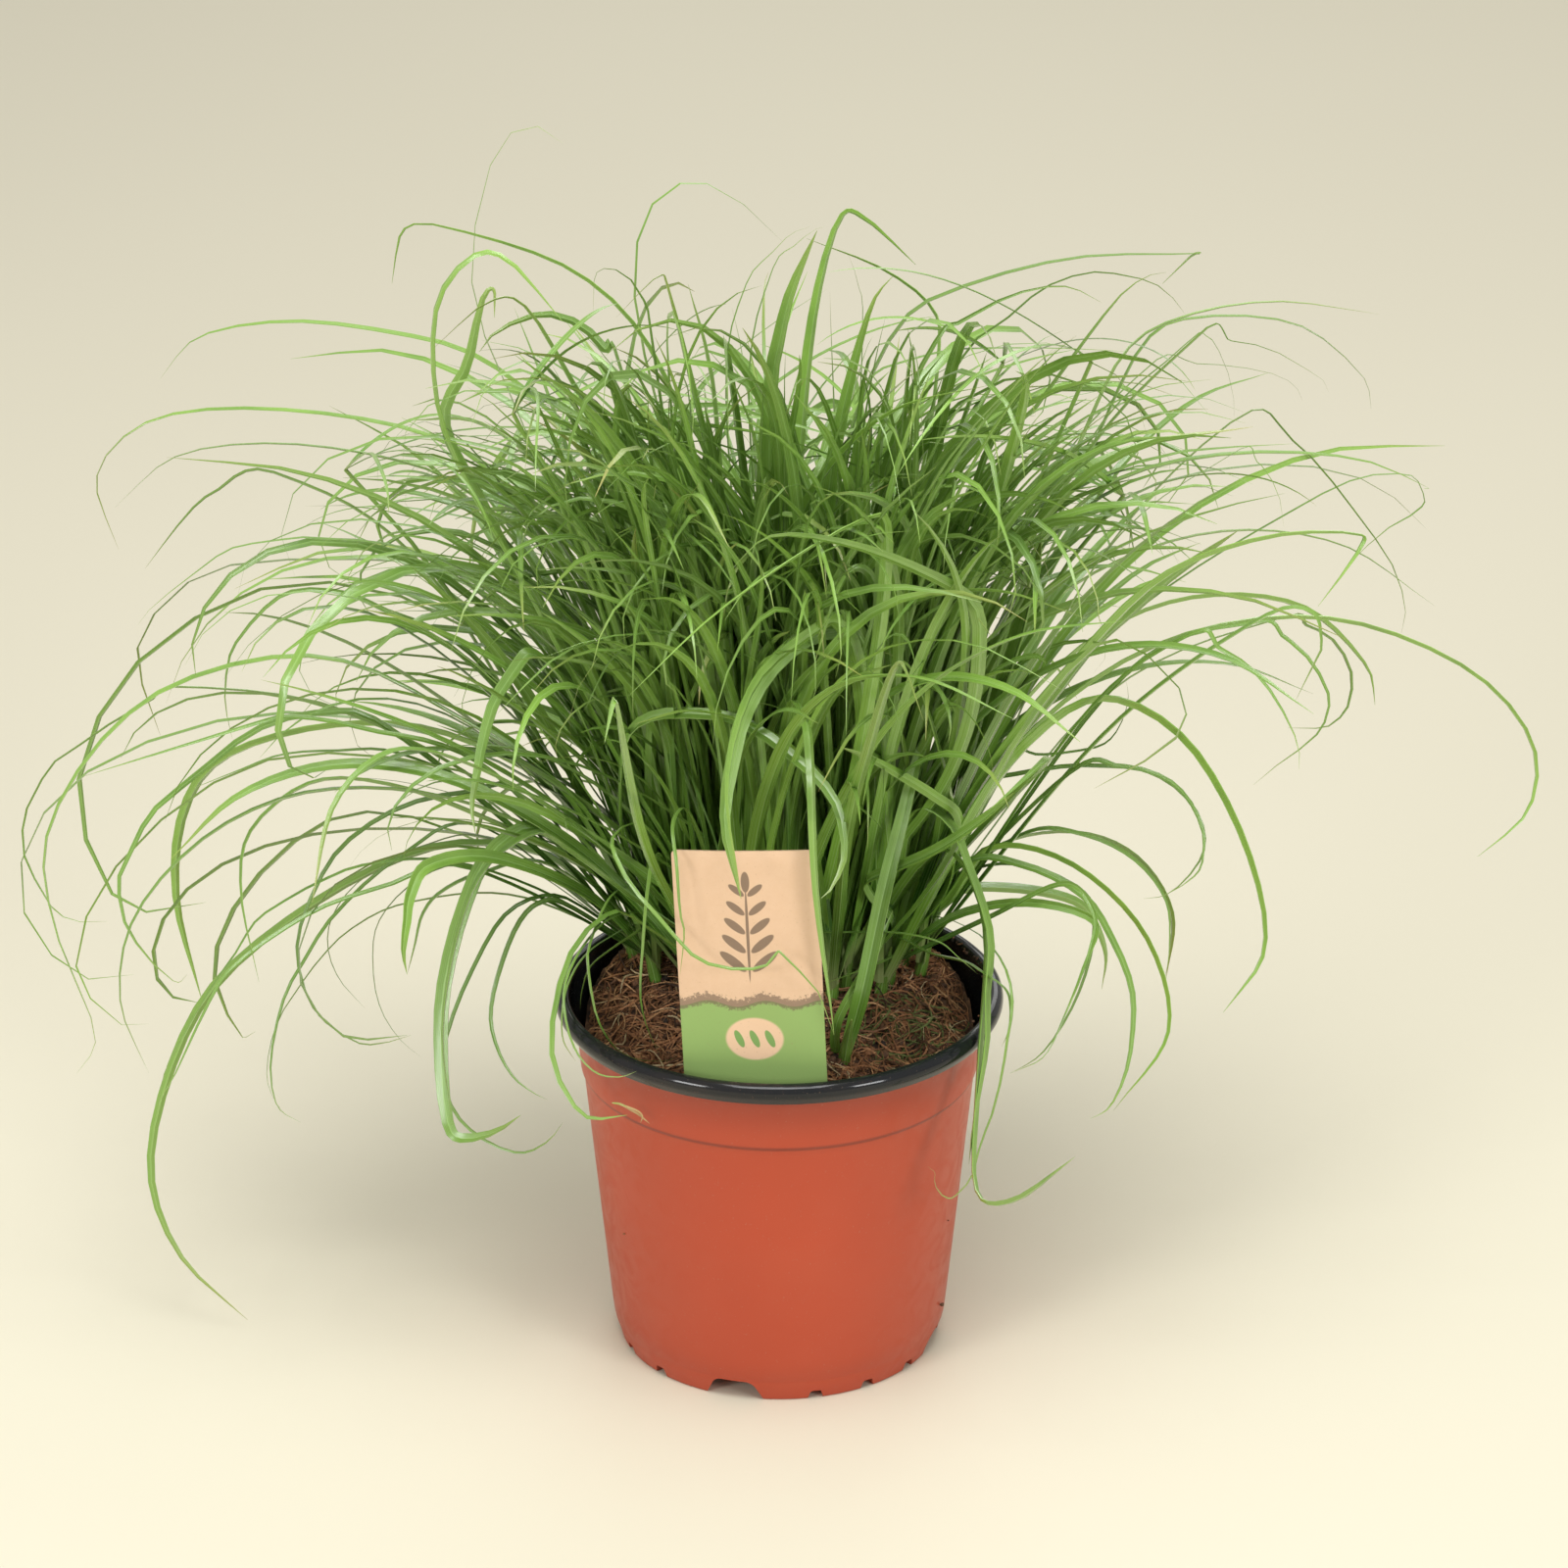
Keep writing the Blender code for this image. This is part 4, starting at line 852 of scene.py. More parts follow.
def make_crumbs(ground, finish):
    """Crumbs and grains of soil, on the surface, on the rim and on the pot's side."""
    draw = random.Random(57)
    shapes = []
    for number in range(3):
        if number < 2:
            lump = start(bpy.ops.mesh.primitive_uv_sphere_add, "lump", segments=7, ring_count=5, radius=0.5)
        else:
            lump = start(bpy.ops.mesh.primitive_ico_sphere_add, "lump", subdivisions=1, radius=0.5)
        edit(lump)
        bpy.ops.transform.vertex_random(offset=0.13, seed=number + 1)
        leave()
        places = np.array([v.co for v in lump.data.vertices])
        shapes.append((places, Pattern(lump, 1)))
    spots = []
    for i in range(CRUMBS + GRAINS):
        x, y = soil_place(draw, 0.97)
        size = draw.uniform(1.0, 3.0) * MM if i < CRUMBS else draw.uniform(0.35, 1.0) * MM
        spots.append((x, y, ground_height(ground, x, y) + lumps(x, y) + 0.15 * size, size,
                      shapes[i % 2] if i < CRUMBS else shapes[2]))
    for x, y, z, size in stuck_crumbs(draw):
        spots.append((x, y, z, size, shapes[2]))
    bundle = Bundle()
    for x, y, z, size, (places, shape) in spots:
        turn = np.array(Matrix.Rotation(draw.uniform(0, 2 * math.pi), 3, Vector((draw.gauss(0, 1),
                        draw.gauss(0, 1), draw.gauss(0, 1) + 0.01))))
        stretch = np.array((1.0, draw.uniform(0.55, 1.0), draw.uniform(0.45, 0.9))) * size
        placed = (places * stretch) @ turn.T + np.array((x, y, z))
        bundle.add(placed, shape.corners, shape.sizes, places[:, 0], places[:, 1],
                   min(0.75, max(0.0, draw.gauss(0.26, 0.16))), 0.0)
    crumbs = bundle.piece("soil_crumbs", finish, "strand_map", 50)
    return finished(crumbs, "soil")


def stuck_crumbs(draw):
    """Crumbs on the rim, most at its right and back, and a few specks on the pot's side."""
    for _ in range(70):
        angle = math.radians(draw.gauss(35, 38))
        radius = RIM_RADIUS - draw.uniform(2.4, 5.4) * MM
        yield radius * math.cos(angle), radius * math.sin(angle), RIM_HEIGHT - 0.6 * MM, draw.uniform(0.5, 1.6) * MM
    for angle, height, size in ((-148, 41, 0.9), (-18, 13, 1.5), (-22, 41, 0.6), (-10, 91, 1.2)):
        radius = FOOT_TOP_RADIUS + (STEP_RADIUS - FOOT_TOP_RADIUS) * height * MM / STEP_HEIGHT
        yield (radius * math.cos(math.radians(angle)), radius * math.sin(math.radians(angle)), height * MM,
               size * MM)


# The label

def make_label(finish):
    """The card: drawn flat, tapered to its stake, thickened, bevelled and set in its leaning place."""
    high = LABEL_TOP - LABEL_BOTTOM
    card = start(bpy.ops.mesh.primitive_grid_add, "label_card", x_subdivisions=8, y_subdivisions=24, size=1,
                 rotation=(math.pi / 2, 0, 0))
    bpy.ops.transform.resize(value=(LABEL_WIDTH, 1, high))
    bpy.ops.transform.translate(value=(0, 0, (LABEL_TOP + LABEL_BOTTOM) / 2))
    bpy.ops.object.transform_apply(location=True, rotation=True, scale=True)
    for vert in card.data.vertices:
        if vert.co.z < LABEL_TAPER_FROM:
            share = (LABEL_TAPER_FROM - vert.co.z) / (LABEL_TAPER_FROM - LABEL_BOTTOM)
            vert.co.x *= 1 - share * (1 - LABEL_STAKE_WIDTH / LABEL_WIDTH)
        vert.co.y = -0.7 * MM * (1 - (2 * vert.co.x / LABEL_WIDTH) ** 2)
    edit(card, lambda place: place.z > LABEL_TOP - 0.1 * MM and abs(place.x) > LABEL_WIDTH / 2 - 0.1 * MM)
    bpy.ops.mesh.bevel(offset=1.3 * MM, segments=4, affect="VERTICES")
    leave()
    modify(card, "SOLIDIFY", thickness=LABEL_THICKNESS, offset=0.0)
    modify(card, "BEVEL", width=0.15 * MM, segments=2, limit_method="ANGLE", angle_limit=math.radians(50))
    for layer in list(card.data.uv_layers):
        card.data.uv_layers.remove(layer)
    layer = card.data.uv_layers.new(name="print_map")
    for corner, target in zip(card.data.loops, layer.uv):
        place = card.data.vertices[corner.vertex_index].co
        target.vector = (place.x * PRINT_SCALE, place.z * PRINT_SCALE)
    turn = (Matrix.Rotation(LABEL_TURN, 4, "Z") @ Matrix.Rotation(LABEL_LEAN, 4, "X")
            @ Matrix.Rotation(LABEL_ROLL, 4, "Y"))
    card.data.transform(Matrix.Translation(LABEL_AT) @ turn)
    card.data.materials.clear()
    card.data.materials.append(finish)
    smooth(card, 40)
    return finished(card, "plant_label", "plant_label")


# The leaves

# Leaves drawn as the camera sees them, beside the frame's own. Each line holds the depth of its tip behind
# the pot's axis, its width, its tone and its route, in millimetres right of the axis and above the foot
DRAWN_LEAVES = [
    (-20, 1.6, 0.5, [(-60, 175), (-91, 206), (-120, 212), (-135, 211), (-145, 209), (-155, 202), (-165, 194),
                     (-169, 189)]),
    (30, 1.4, 0.5, [(-75, 175), (-106, 194), (-117, 198), (-128, 198), (-135, 194), (-142, 186), (-145, 180),
                    (-146, 169), (-144, 159)]),
    (-50, 1.3, 0.6, [(-75, 150), (-110, 162), (-128, 165), (-135, 164), (-145, 161), (-184, 149)]),
    (10, 1.3, 0.5, [(-70, 140), (-99, 155), (-117, 156), (-131, 155), (-142, 151), (-157, 145)]),
    (0, 1.8, 0.55, [(-60, 130), (-110, 165), (-156, 173), (-166, 169), (-175, 164), (-182, 159), (-191, 153),
                    (-196, 145), (-199, 138), (-199, 129), (-196, 122), (-191, 114), (-185, 111), (-177, 111)]),
    (-30, 1.8, 0.55, [(-75, 140), (-106, 164), (-120, 166), (-132, 164), (-142, 159), (-153, 150), (-165, 140),
                      (-171, 129), (-174, 122), (-173, 113), (-171, 108), (-166, 101), (-159, 95), (-156, 97)]),
    (-40, 1.6, 0.6, [(-60, 118), (-87, 127), (-109, 126), (-122, 121), (-131, 116), (-138, 111), (-143, 103),
                     (-148, 96), (-153, 88), (-158, 79), (-162, 71), (-164, 59)]),
    (-62, 1.5, 0.5, [(-60, 116), (-86, 126), (-102, 121), (-120, 115), (-135, 106), (-145, 98), (-149, 92),
                     (-154, 82), (-159, 71), (-163, 64), (-164, 59)]),
    (-75, 3.4, 0.6, [(-50, 118), (-75, 128), (-92, 126), (-97, 118), (-98, 111), (-99, 103), (-98, 97)]),
    (-20, 1.4, 0.5, [(-70, 118), (-98, 116), (-113, 109), (-122, 100), (-127, 93), (-131, 87), (-134, 79),
                     (-135, 70), (-133, 64), (-130, 60)]),
    (50, 1.5, 0.5, [(-90, 200), (-132, 229), (-149, 224), (-157, 217), (-167, 204)]),
    (-20, 1.6, 0.5, [(55, 130), (79, 152), (89, 152), (96, 151), (103, 148), (108, 143), (111, 137), (112, 132),
                     (111, 125), (107, 121), (102, 118)]),
    (60, 1.5, 0.5, [(85, 170), (132, 191), (139, 189), (145, 186), (149, 181), (151, 175), (150, 168),
                    (147, 164), (143, 162), (134, 162)]),
    (10, 1.4, 0.6, [(90, 175), (125, 190), (133, 186), (139, 181), (143, 175), (145, 169), (143, 162),
                    (138, 157), (131, 152), (125, 147)]),
    (-45, 1.6, 0.6, [(80, 165), (109, 187), (116, 183), (124, 178), (130, 171), (135, 162), (137, 156),
                     (137, 151)]),
    (-10, 2.8, 0.6, [(85, 160), (125, 190), (140, 193), (143, 184), (141, 179), (138, 173), (136, 169)]),
    (20, 1.7, 0.5, [(80, 200), (121, 244), (135, 238), (144, 229), (151, 220), (157, 212), (162, 204),
                    (165, 194), (164, 187)]),
    (-20, 1.4, 0.5, [(70, 215), (110, 265), (119, 264), (129, 262), (138, 257), (143, 254), (145, 250)]),
    (70, 1.3, 0.5, [(65, 215), (97, 257), (110, 258), (122, 257), (131, 255), (136, 252), (138, 248)]),
    (30, 1.3, 0.5, [(75, 225), (106, 262), (113, 265), (117, 259), (119, 253), (120, 247), (120, 243)]),
    (-30, 1.2, 0.5, [(80, 200), (119, 234), (126, 232), (130, 227), (132, 222), (133, 215)]),
    (40, 1.4, 0.55, [(80, 180), (140, 222), (164, 229), (170, 223), (168, 219), (161, 215), (155, 210),
                     (149, 204)]),
    (-60, 1.5, 0.6, [(55, 112), (75, 121), (83, 113), (82, 104), (79, 95), (75, 86)]),
    (0, 3.2, 0.55, [(-45, 150), (-75, 215), (-88, 242), (-82, 258), (-79, 272), (-77, 277), (-75, 277),
                    (-75, 270)]),
    (40, 2.6, 0.15, [(-20, 170), (-41, 255), (-46, 262), (-52, 268), (-60, 271), (-67, 270), (-75, 266),
                     (-79, 261)]),
    (-20, 1.4, 0.5, [(-20, 170), (-33, 261), (-35, 273), (-39, 280), (-44, 283), (-48, 282), (-49, 277),
                     (-49, 271)]),
    (30, 3.6, 0.45, [(-10, 150), (-16, 239), (-19, 261), (-22, 272), (-24, 279)]),
    (-20, 4.6, 0.7, [(0, 150), (-3, 225), (-2, 254), (0, 265), (3, 277), (10, 293)]),
    (50, 1.5, 0.5, [(10, 160), (20, 235), (22, 270), (21, 278), (19, 285), (17, 288)]),
    (80, 1.4, 0.5, [(-8, 170), (-14, 250), (-9, 278), (-2, 287), (3, 292), (8, 294)]),
    (60, 1.3, 0.5, [(-2, 170), (-8, 250), (-2, 282), (4, 289), (9, 293), (12, 294)]),
    (20, 1.6, 0.5, [(22, 170), (32, 240), (42, 265), (48, 269), (59, 275), (69, 278), (77, 278), (85, 274)]),
    (60, 1.6, 0.5, [(26, 170), (40, 240), (50, 262), (59, 269), (70, 278), (82, 282), (92, 281), (99, 279),
                    (104, 275), (107, 271)]),
    (90, 1.5, 0.45, [(12, 170), (18, 235), (24, 254), (35, 259), (42, 261), (51, 262), (74, 262), (94, 261)]),
    (-20, 1.8, 0.6, [(35, 170), (60, 235), (68, 247), (79, 262), (85, 270), (91, 277), (97, 281), (102, 282)]),
    (0, 2.2, 0.55, [(40, 118), (64.6, 134.3), (80, 134), (93.5, 127.5), (102, 116.4), (102.8, 103.3),
                    (101.5, 95.3)]),
    (-50, 2.2, 0.6, [(45, 112), (65, 116), (83, 111), (80.3, 99.1), (75.1, 86), (69.7, 75.4), (60.7, 71)]),
    (-45, 3.7, 0.3, [(-42, 118), (-55, 131), (-66, 136), (-77, 128), (-83, 115), (-87, 101), (-89, 88),
                     (-89, 73), (-88, 62), (-86, 55), (-81, 54), (-74, 56), (-68, 60)]),
    (-30, 1.3, 0.35, [(-55, 115), (-63, 116), (-69, 110), (-74, 97), (-76, 86), (-74, 77), (-70, 70),
                      (-65, 66), (-61, 64)]),
    (-10, 2.6, 0.45, [(-60, 126), (-78, 124), (-89, 119), (-94, 113), (-96, 105), (-98, 97)]),
    (-20, 1.8, 0.35, [(-65, 144), (-83, 145), (-100, 141), (-115, 131), (-123, 118), (-127, 105),
                      (-125, 93), (-120, 85), (-111, 79), (-104, 79), (-97, 81)]),
    (-30, 1.2, 0.3, [(-78, 136), (-100, 128), (-117, 113), (-125, 101), (-130, 92), (-133, 81), (-134, 71),
                     (-132, 62), (-126, 58)]),
    (0, 1.1, 0.3, [(-68, 126), (-86, 126), (-98, 120), (-106, 110), (-107, 98), (-105, 88), (-100, 80),
                   (-94, 75)]),
    (20, 1.2, 0.3, [(-74, 132), (-94, 131), (-109, 123), (-117, 114), (-119, 105), (-116, 96), (-109, 88)]),
    (-40, 1.3, 0.35, [(-49, 113), (-60, 118), (-72, 113), (-81, 98), (-87, 83), (-89, 71), (-85, 60),
                      (-77, 53), (-68, 50), (-61, 53), (-57, 58)]),
    (-35, 3.6, 0.45, [(-40, 134), (-49, 158), (-57, 175), (-65, 182), (-70, 177), (-75, 169), (-78, 159),
                      (-80, 148), (-81, 141), (-80, 134)]),
    (-5, 3.2, 0.7, [(-29, 123), (-33, 144), (-37, 161), (-40, 170), (-37, 177), (-30, 183), (-22, 192),
                    (-16, 195), (-9, 200), (-3, 205), (4, 209)]),
    (-56, 3.0, 0.6, [(-40, 129), (-42, 147), (-40, 160), (-34, 165), (-25, 166), (-14, 165), (-5, 161),
                     (3, 155), (10, 149), (15, 142), (17, 134), (17, 127), (14, 120), (11, 117)]),
    (-66, 4.6, 0.55, [(28, 132), (28, 158), (25, 178), (21, 187), (14, 188), (6, 185), (-1, 179),
                      (-6, 172), (-10, 163), (-12, 154), (-14, 143), (-14, 134), (-12, 125), (-10, 117)]),
    (-50, 4.2, 0.6, [(30, 118), (34, 136), (39, 141), (46, 136), (50, 126), (54, 115), (56, 105), (55, 92),
                     (55, 80), (53, 67), (51, 55), (50, 47)]),
    (-25, 2.6, 0.75, [(38, 115), (46, 131), (47, 139), (41, 144), (33, 149), (24, 154), (16, 157)]),
    (-40, 3.2, 0.7, [(30, 110), (24, 118), (23, 122), (30, 125), (41, 130), (52, 137), (62, 145)]),
    (-20, 3.4, 0.75, [(43, 118), (46, 136), (43, 152), (39, 166), (35, 177), (30, 181), (27, 182)]),
    (0, 5.5, 0.75, [(44, 118), (48, 139), (52, 154), (56, 167), (60, 178), (63, 187), (65, 195), (68, 204),
                    (69, 214)]),
    (10, 3.8, 0.5, [(46, 126), (52, 144), (61, 157), (72, 170), (82, 183), (93, 193), (102, 201),
                    (112, 208), (121, 214)]),
    (-10, 1.5, 0.3, [(43, 134), (53, 147), (63, 150), (76, 152), (86, 152), (96, 151), (105, 146),
                     (111, 138), (112, 130), (108, 123), (102, 118), (96, 117)]),
    (-10, 1.3, 0.3, [(47, 123), (64, 126), (80, 119), (83, 110), (81, 98), (76, 86), (69, 76), (61, 71)]),
    (-30, 2.0, 0.4, [(48, 126), (64, 126), (80, 118), (88, 106), (93, 93), (93, 80), (91, 70), (87, 62),
                     (82, 59)]),
    (20, 1.3, 0.35, [(53, 150), (61, 157), (68, 155), (79, 156), (86, 158), (90, 163), (92, 170),
                     (91, 176)]),
    (-58, 2.4, 0.9, [(28, 121), (27, 147), (26, 173), (26, 196), (28, 219), (34, 240), (40, 256)]),
    (-40, 3.6, 0.6, [(-15, 132), (-15, 158), (-14, 183), (-10, 201), (-5, 210), (1, 213), (12, 212),
                     (22, 209), (32, 206), (40, 202), (49, 195), (56, 186)]),
]

# Leaves that hang in front of the label, over the soil and over the rim: width, tone, dryness and the route
# from a shoot, in millimetres right of the axis and above the foot as seen, and behind the axis
FRONT_LEAVES = [
    (3.4, 0.75, 0.0, [(-3, 122, 8), (0, 150, -8), (3.5, 168, -28), (7, 163, -44), (8.2, 150, -52),
                      (8.6, 137.4, -55), (9.4, 121.4, -55), (11.1, 105.9, -54), (13.4, 90.4, -53),
                      (14.5, 81, -52)]),
    (1.1, 0.6, 0.15, [(-25, 118, 14), (-35, 136, -12), (-44, 133, -36), (-40, 122, -46), (-33, 113.6, -52),
                      (-27, 106.6, -54), (-22.2, 101.7, -54), (-16.3, 99.1, -54), (-8.8, 98.4, -54),
                      (-3.4, 99.4, -55), (-0.6, 102.8, -55), (0.6, 102.6, -55), (4.9, 98.4, -55),
                      (10.3, 92.4, -54), (12.4, 87, -54), (14.5, 81, -53)]),
    (1.2, 0.45, 0.2, [(-18, 122, 6), (-24, 140, -26), (-28, 137, -44), (-27, 126, -53), (-26.1, 113.6, -54),
                      (-25, 108.7, -54), (-25.3, 103.8, -54), (-26.1, 96.8, -53)]),
    (2.4, 0.8, 0.0, [(-30, 122, 14), (-33, 128, -6), (-35, 116, -16), (-35.9, 103.8, -19), (-36.4, 97.3, -20),
                     (-36.4, 90.4, -21), (-35, 83.9, -21), (-32.5, 78, -20), (-31, 75.6, -19)]),
    (1.3, 0.6, 0.2, [(-36, 118, 16), (-44, 118, -8), (-49.8, 105.3, -20), (-50.3, 98.9, -24),
                     (-48.8, 88.8, -25), (-46.8, 82.9, -25), (-43.4, 77.9, -25), (-39.5, 75.4, -24),
                     (-35, 74.3, -24), (-29.2, 74.4, -23), (-26, 76.2, -23)]),
    (1.5, 0.7, 0.1, [(-28, 112, 18), (-36, 109, 8), (-44.4, 103.6, -2), (-49.8, 98.9, -6), (-52, 92.4, -8),
                     (-52.4, 87.5, -8)]),
    (1.1, 0.5, 0.3, [(-36, 110, 16), (-46, 106, 0), (-52, 101, -12), (-55.8, 94, -19), (-57.2, 86.4, -24),
                     (-56.8, 79.5, -29), (-53.6, 74.2, -35)]),
    (2.6, 0.7, 0.05, [(15, 76, -20), (15.2, 84, -22), (20.3, 94, -20), (26, 104, -14), (30, 114, -8)]),
    (2.0, 0.4, 0.15, [(8, 108, 8), (14, 108, 0), (23.5, 108, -8), (29.4, 108, -14), (36.1, 107.2, -18),
                      (42.7, 105.3, -20), (47, 101.7, -22), (52.4, 97.1, -22)]),
    (1.8, 0.35, 0.1, [(36.7, 112, 20), (34.3, 106, 12), (29.4, 101.5, 6), (20.9, 97.9, 2), (11.9, 94.5, 0)]),
    (2.2, 0.45, 0.2, [(26, 108, 14), (33, 106, 4), (39.8, 102.5, -4), (48.8, 100.4, -14), (54, 97.3, -22),
                      (59.8, 93, -30), (61, 88, -34), (60.4, 82, -37), (58.6, 78, -38)]),
    (0.9, 0.5, 0.35, [(40, 112, 16), (52, 108, -4), (59, 100, -24), (61.5, 90, -34), (60, 79, -38),
                      (58.5, 69.5, -38), (55.6, 58.5, -38), (53.2, 53, -37), (51, 44.2, -36),
                      (47.6, 39.8, -36), (45, 38, -37), (42.3, 39.4, -39), (41, 42.1, -41), (41, 44.9, -41),
                      (39.1, 46.5, -43)]),
    (1.2, 0.6, 0.1, [(-34, 112, 12), (-44, 112, -6), (-52, 104, -22), (-56.5, 94, -32), (-56, 84, -37),
                     (-53, 76, -40), (-48, 71, -44), (-42, 70, -48), (-37.4, 71.6, -50)]),
]

# Dry leaf tips caught on the pot's side: width and route, as above
DRY_TIPS = [
    (0.65, [(-44, 63.2, -43), (-41.6, 62.8, -43), (-38.8, 61.2, -44), (-36.8, 60, -44.6), (-34, 57.6, -45.5)]),
    (0.5, [(-42, 62.8, -43.5), (-39.4, 62, -44.2), (-37, 60.9, -45), (-36, 59.6, -45.2), (-36.6, 57.8, -45)]),
]


def node_leaves(node):
    """The leaves of a shoot's solid: for each, the middles, widths and upper sides of its rings from foot to tip."""
    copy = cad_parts[node].copy()
    copy.data = copy.data.copy()
    bpy.context.collection.objects.link(copy)
    bpy.ops.object.select_all(action="DESELECT")
    copy.hide_viewport = False
    edit(copy)
    bpy.ops.mesh.remove_doubles(threshold=0.00001)
    leave()
    places = np.array([v.co for v in copy.data.vertices])
    beside = [set() for _ in places]
    for a, b in (tuple(e.vertices) for e in copy.data.edges):
        beside[a].add(b)
        beside[b].add(a)
    bpy.data.objects.remove(copy)
    leaves = []
    for tip in (i for i, near in enumerate(beside) if len(near) == 3):
        rings = []
        seen = {tip}
        layer = {tip}
        while True:
            after = set().union(*(beside[i] for i in layer)) - seen
            if len(after) != 3:
                break
            rings.append(sorted(after))
            seen |= after
            layer = after
        if len(rings) > 4:
            leaves.append(read_rings(places, rings, places[tip]))
    return leaves


def read_rings(places, rings, tip):
    """Route, full width and first upper direction of a leaf, from its three-sided rings, tip first."""
    middles = [tip]
    widths = []
    for ring in rings[:-1]:
        a, b, c = (places[i] for i in ring)
        sides = sorted(((np.linalg.norm(p - q), i) for i, (p, q) in enumerate(((b, c), (a, c), (a, b)))))
        fold = sides[-1][1]
        edges = [p for i, p in enumerate((a, b, c)) if i != fold]
        middles.append((edges[0] + edges[1]) / 2)
        widths.append(sides[-1][0])
        up = (a, b, c)[fold] - middles[-1]
    middles.append(sum(places[i] for i in rings[-1]) / 3)
    return middles[::-1], max(widths), unit(up), middles[-1]


def sheath_foot(leaves, ground):
    """The middle of a shoot's foot, under the place where its leaves part."""
    top = sum(leaf[3] for leaf in leaves) / len(leaves)
    place = (top + SHEATH_LEAN * CROWN_CENTRE) / (1 + SHEATH_LEAN)
    return np.array((place[0], place[1], ground_height(ground, place[0], place[1]) + 0.6 * MM))


def arching_route(draw, foot, heading, lean, bend, length, swirl, power, curl=0.0):
    """A leaf's route that rises from its foot, arches over under its own weight and may curl at its tip."""
    steps = 26
    points = [foot]
    phase = draw.uniform(0, 6)
    for i in range(steps):
        share = (i + 0.5) / steps
        tilt = lean + bend * share ** power + curl * share ** 7
        angle = heading + swirl * share ** 1.5 + 0.06 * math.sin(8 * share + phase)
        step = np.array((math.sin(tilt) * math.cos(angle), math.sin(tilt) * math.sin(angle), math.cos(tilt)))
        points.append(points[-1] + step * (length / steps))
    return np.array(points)


def in_clump(points, share=1.0):
    """True where a fine leaf stays in a share of the clump's outline, clear of the label and the pot's front."""
    for place in points[3:]:
        right, high = view_of(place)
        side = CLUMP_LEFT
        if place[0] > 0:
            side = CLUMP_RIGHT * (0.55 + 0.45 * min(1.0, max(0.0, (high - 150 * MM) / (80 * MM))))
        wide = place[0] / (share * side)
        deep = (place[1] - 4 * MM) / (share * CLUMP_DEEP)
        if wide * wide + deep * deep > 1:
            return False
        fall = CLUMP_TOP_FALL_RIGHT if right > 0 else CLUMP_TOP_FALL_LEFT
        if high > CLUMP_TOP - fall * right * right - 40 * MM * (1 - share) or place[2] < CLUMP_LOW:
            return False
        if place[1] < 12 * MM and abs(right) < 64 * MM and high < 112 * MM:
            return False
        if -112 * MM < right < -48 * MM and high < 122 * MM:
            return False
        if abs(right + 6 * MM) < 22 * MM and place[1] < -25 * MM and high < 142 * MM:
            return False
    return True


def clear_of(solids, points):
    """True where a route passes through none of the solids."""
    for a, b in zip(points[2:], points[3:]):
        span = Vector(b - a)
        if solids.ray_cast(Vector(a), span.normalized(), span.length)[0] is not None:
            return False
    return True


def crown_reach(foot):
    """Direction from the crown's middle to a shoot's foot, and how far out it stands as a share of the crown."""
    away = foot - CROWN_CENTRE
    return math.atan2(away[1], away[0]), min(1.0, math.hypot(away[0] / CROWN_X, away[1] / CROWN_Y))


def grow_fine_leaves(draw, bundle, blade, foot, solids, count):
    """Fine leaves of one shoot, fewer the further they reach."""
    outward, reach = crown_reach(foot)
    grown = 0
    for attempt in range(count * 14):
        if grown == count:
            break
        share = 0.42 + 0.58 * draw.random() ** 3
        heading = outward + draw.gauss(0, 1.6 - 1.0 * reach)
        if draw.random() < 0.58:
            lean = math.radians(abs(draw.gauss(0, 7)) + reach * draw.uniform(0, 14))
            bend = math.radians(draw.uniform(45, 155))
            length = draw.uniform(175, 290) * MM
            power = draw.uniform(1.7, 3.4)
        elif math.cos(heading) < -0.3 and draw.random() < 0.6:
            lean = math.radians(draw.uniform(34, 62))
            bend = math.radians(draw.uniform(20, 75))
            length = draw.uniform(100, 210) * MM
            power = draw.uniform(1.2, 2.4)
        else:
            lean = math.radians(reach * draw.uniform(16, 62 - 14 * math.cos(heading)))
            bend = math.radians(draw.uniform(50, 130))
            length = draw.uniform(130, 290) * MM * (0.6 + 0.4 * share)
            power = draw.uniform(1.2, 2.4)
        if math.sin(heading) < -0.3:
            bend *= 0.65
        curl = math.radians(draw.uniform(30, 150)) if draw.random() < 0.3 else 0.0
        start_at = foot + np.array((draw.gauss(0, 1.0) * MM, draw.gauss(0, 1.0) * MM, 4 * MM))
        points = arching_route(draw, start_at, heading, lean, bend, length, math.radians(draw.gauss(0, 30)),
                               power, curl)
        if not in_clump(points, share) or not clear_of(solids, points):
            continue
        width = draw.choice(FINE_WIDTHS) * MM
        tone = leaf_tone(draw) - 0.3 * (width < 1.7 * MM)
        route = smooth_route(points, blade.rows, 2)
        up = np.array((-math.cos(heading), -math.sin(heading), 0.3))
        bundle.lay(blade, route, blade_widths(route[1], width), up, max(0.0, tone), draw.random() ** 4 * 0.35,
                   (draw.gauss(0, 0.5), draw.gauss(0, 0.9)))
        grown += 1


def leaf_tone(draw):
    """How light a leaf is, most of them middling."""
    return min(1.0, max(0.0, draw.gauss(0.52, 0.29)))


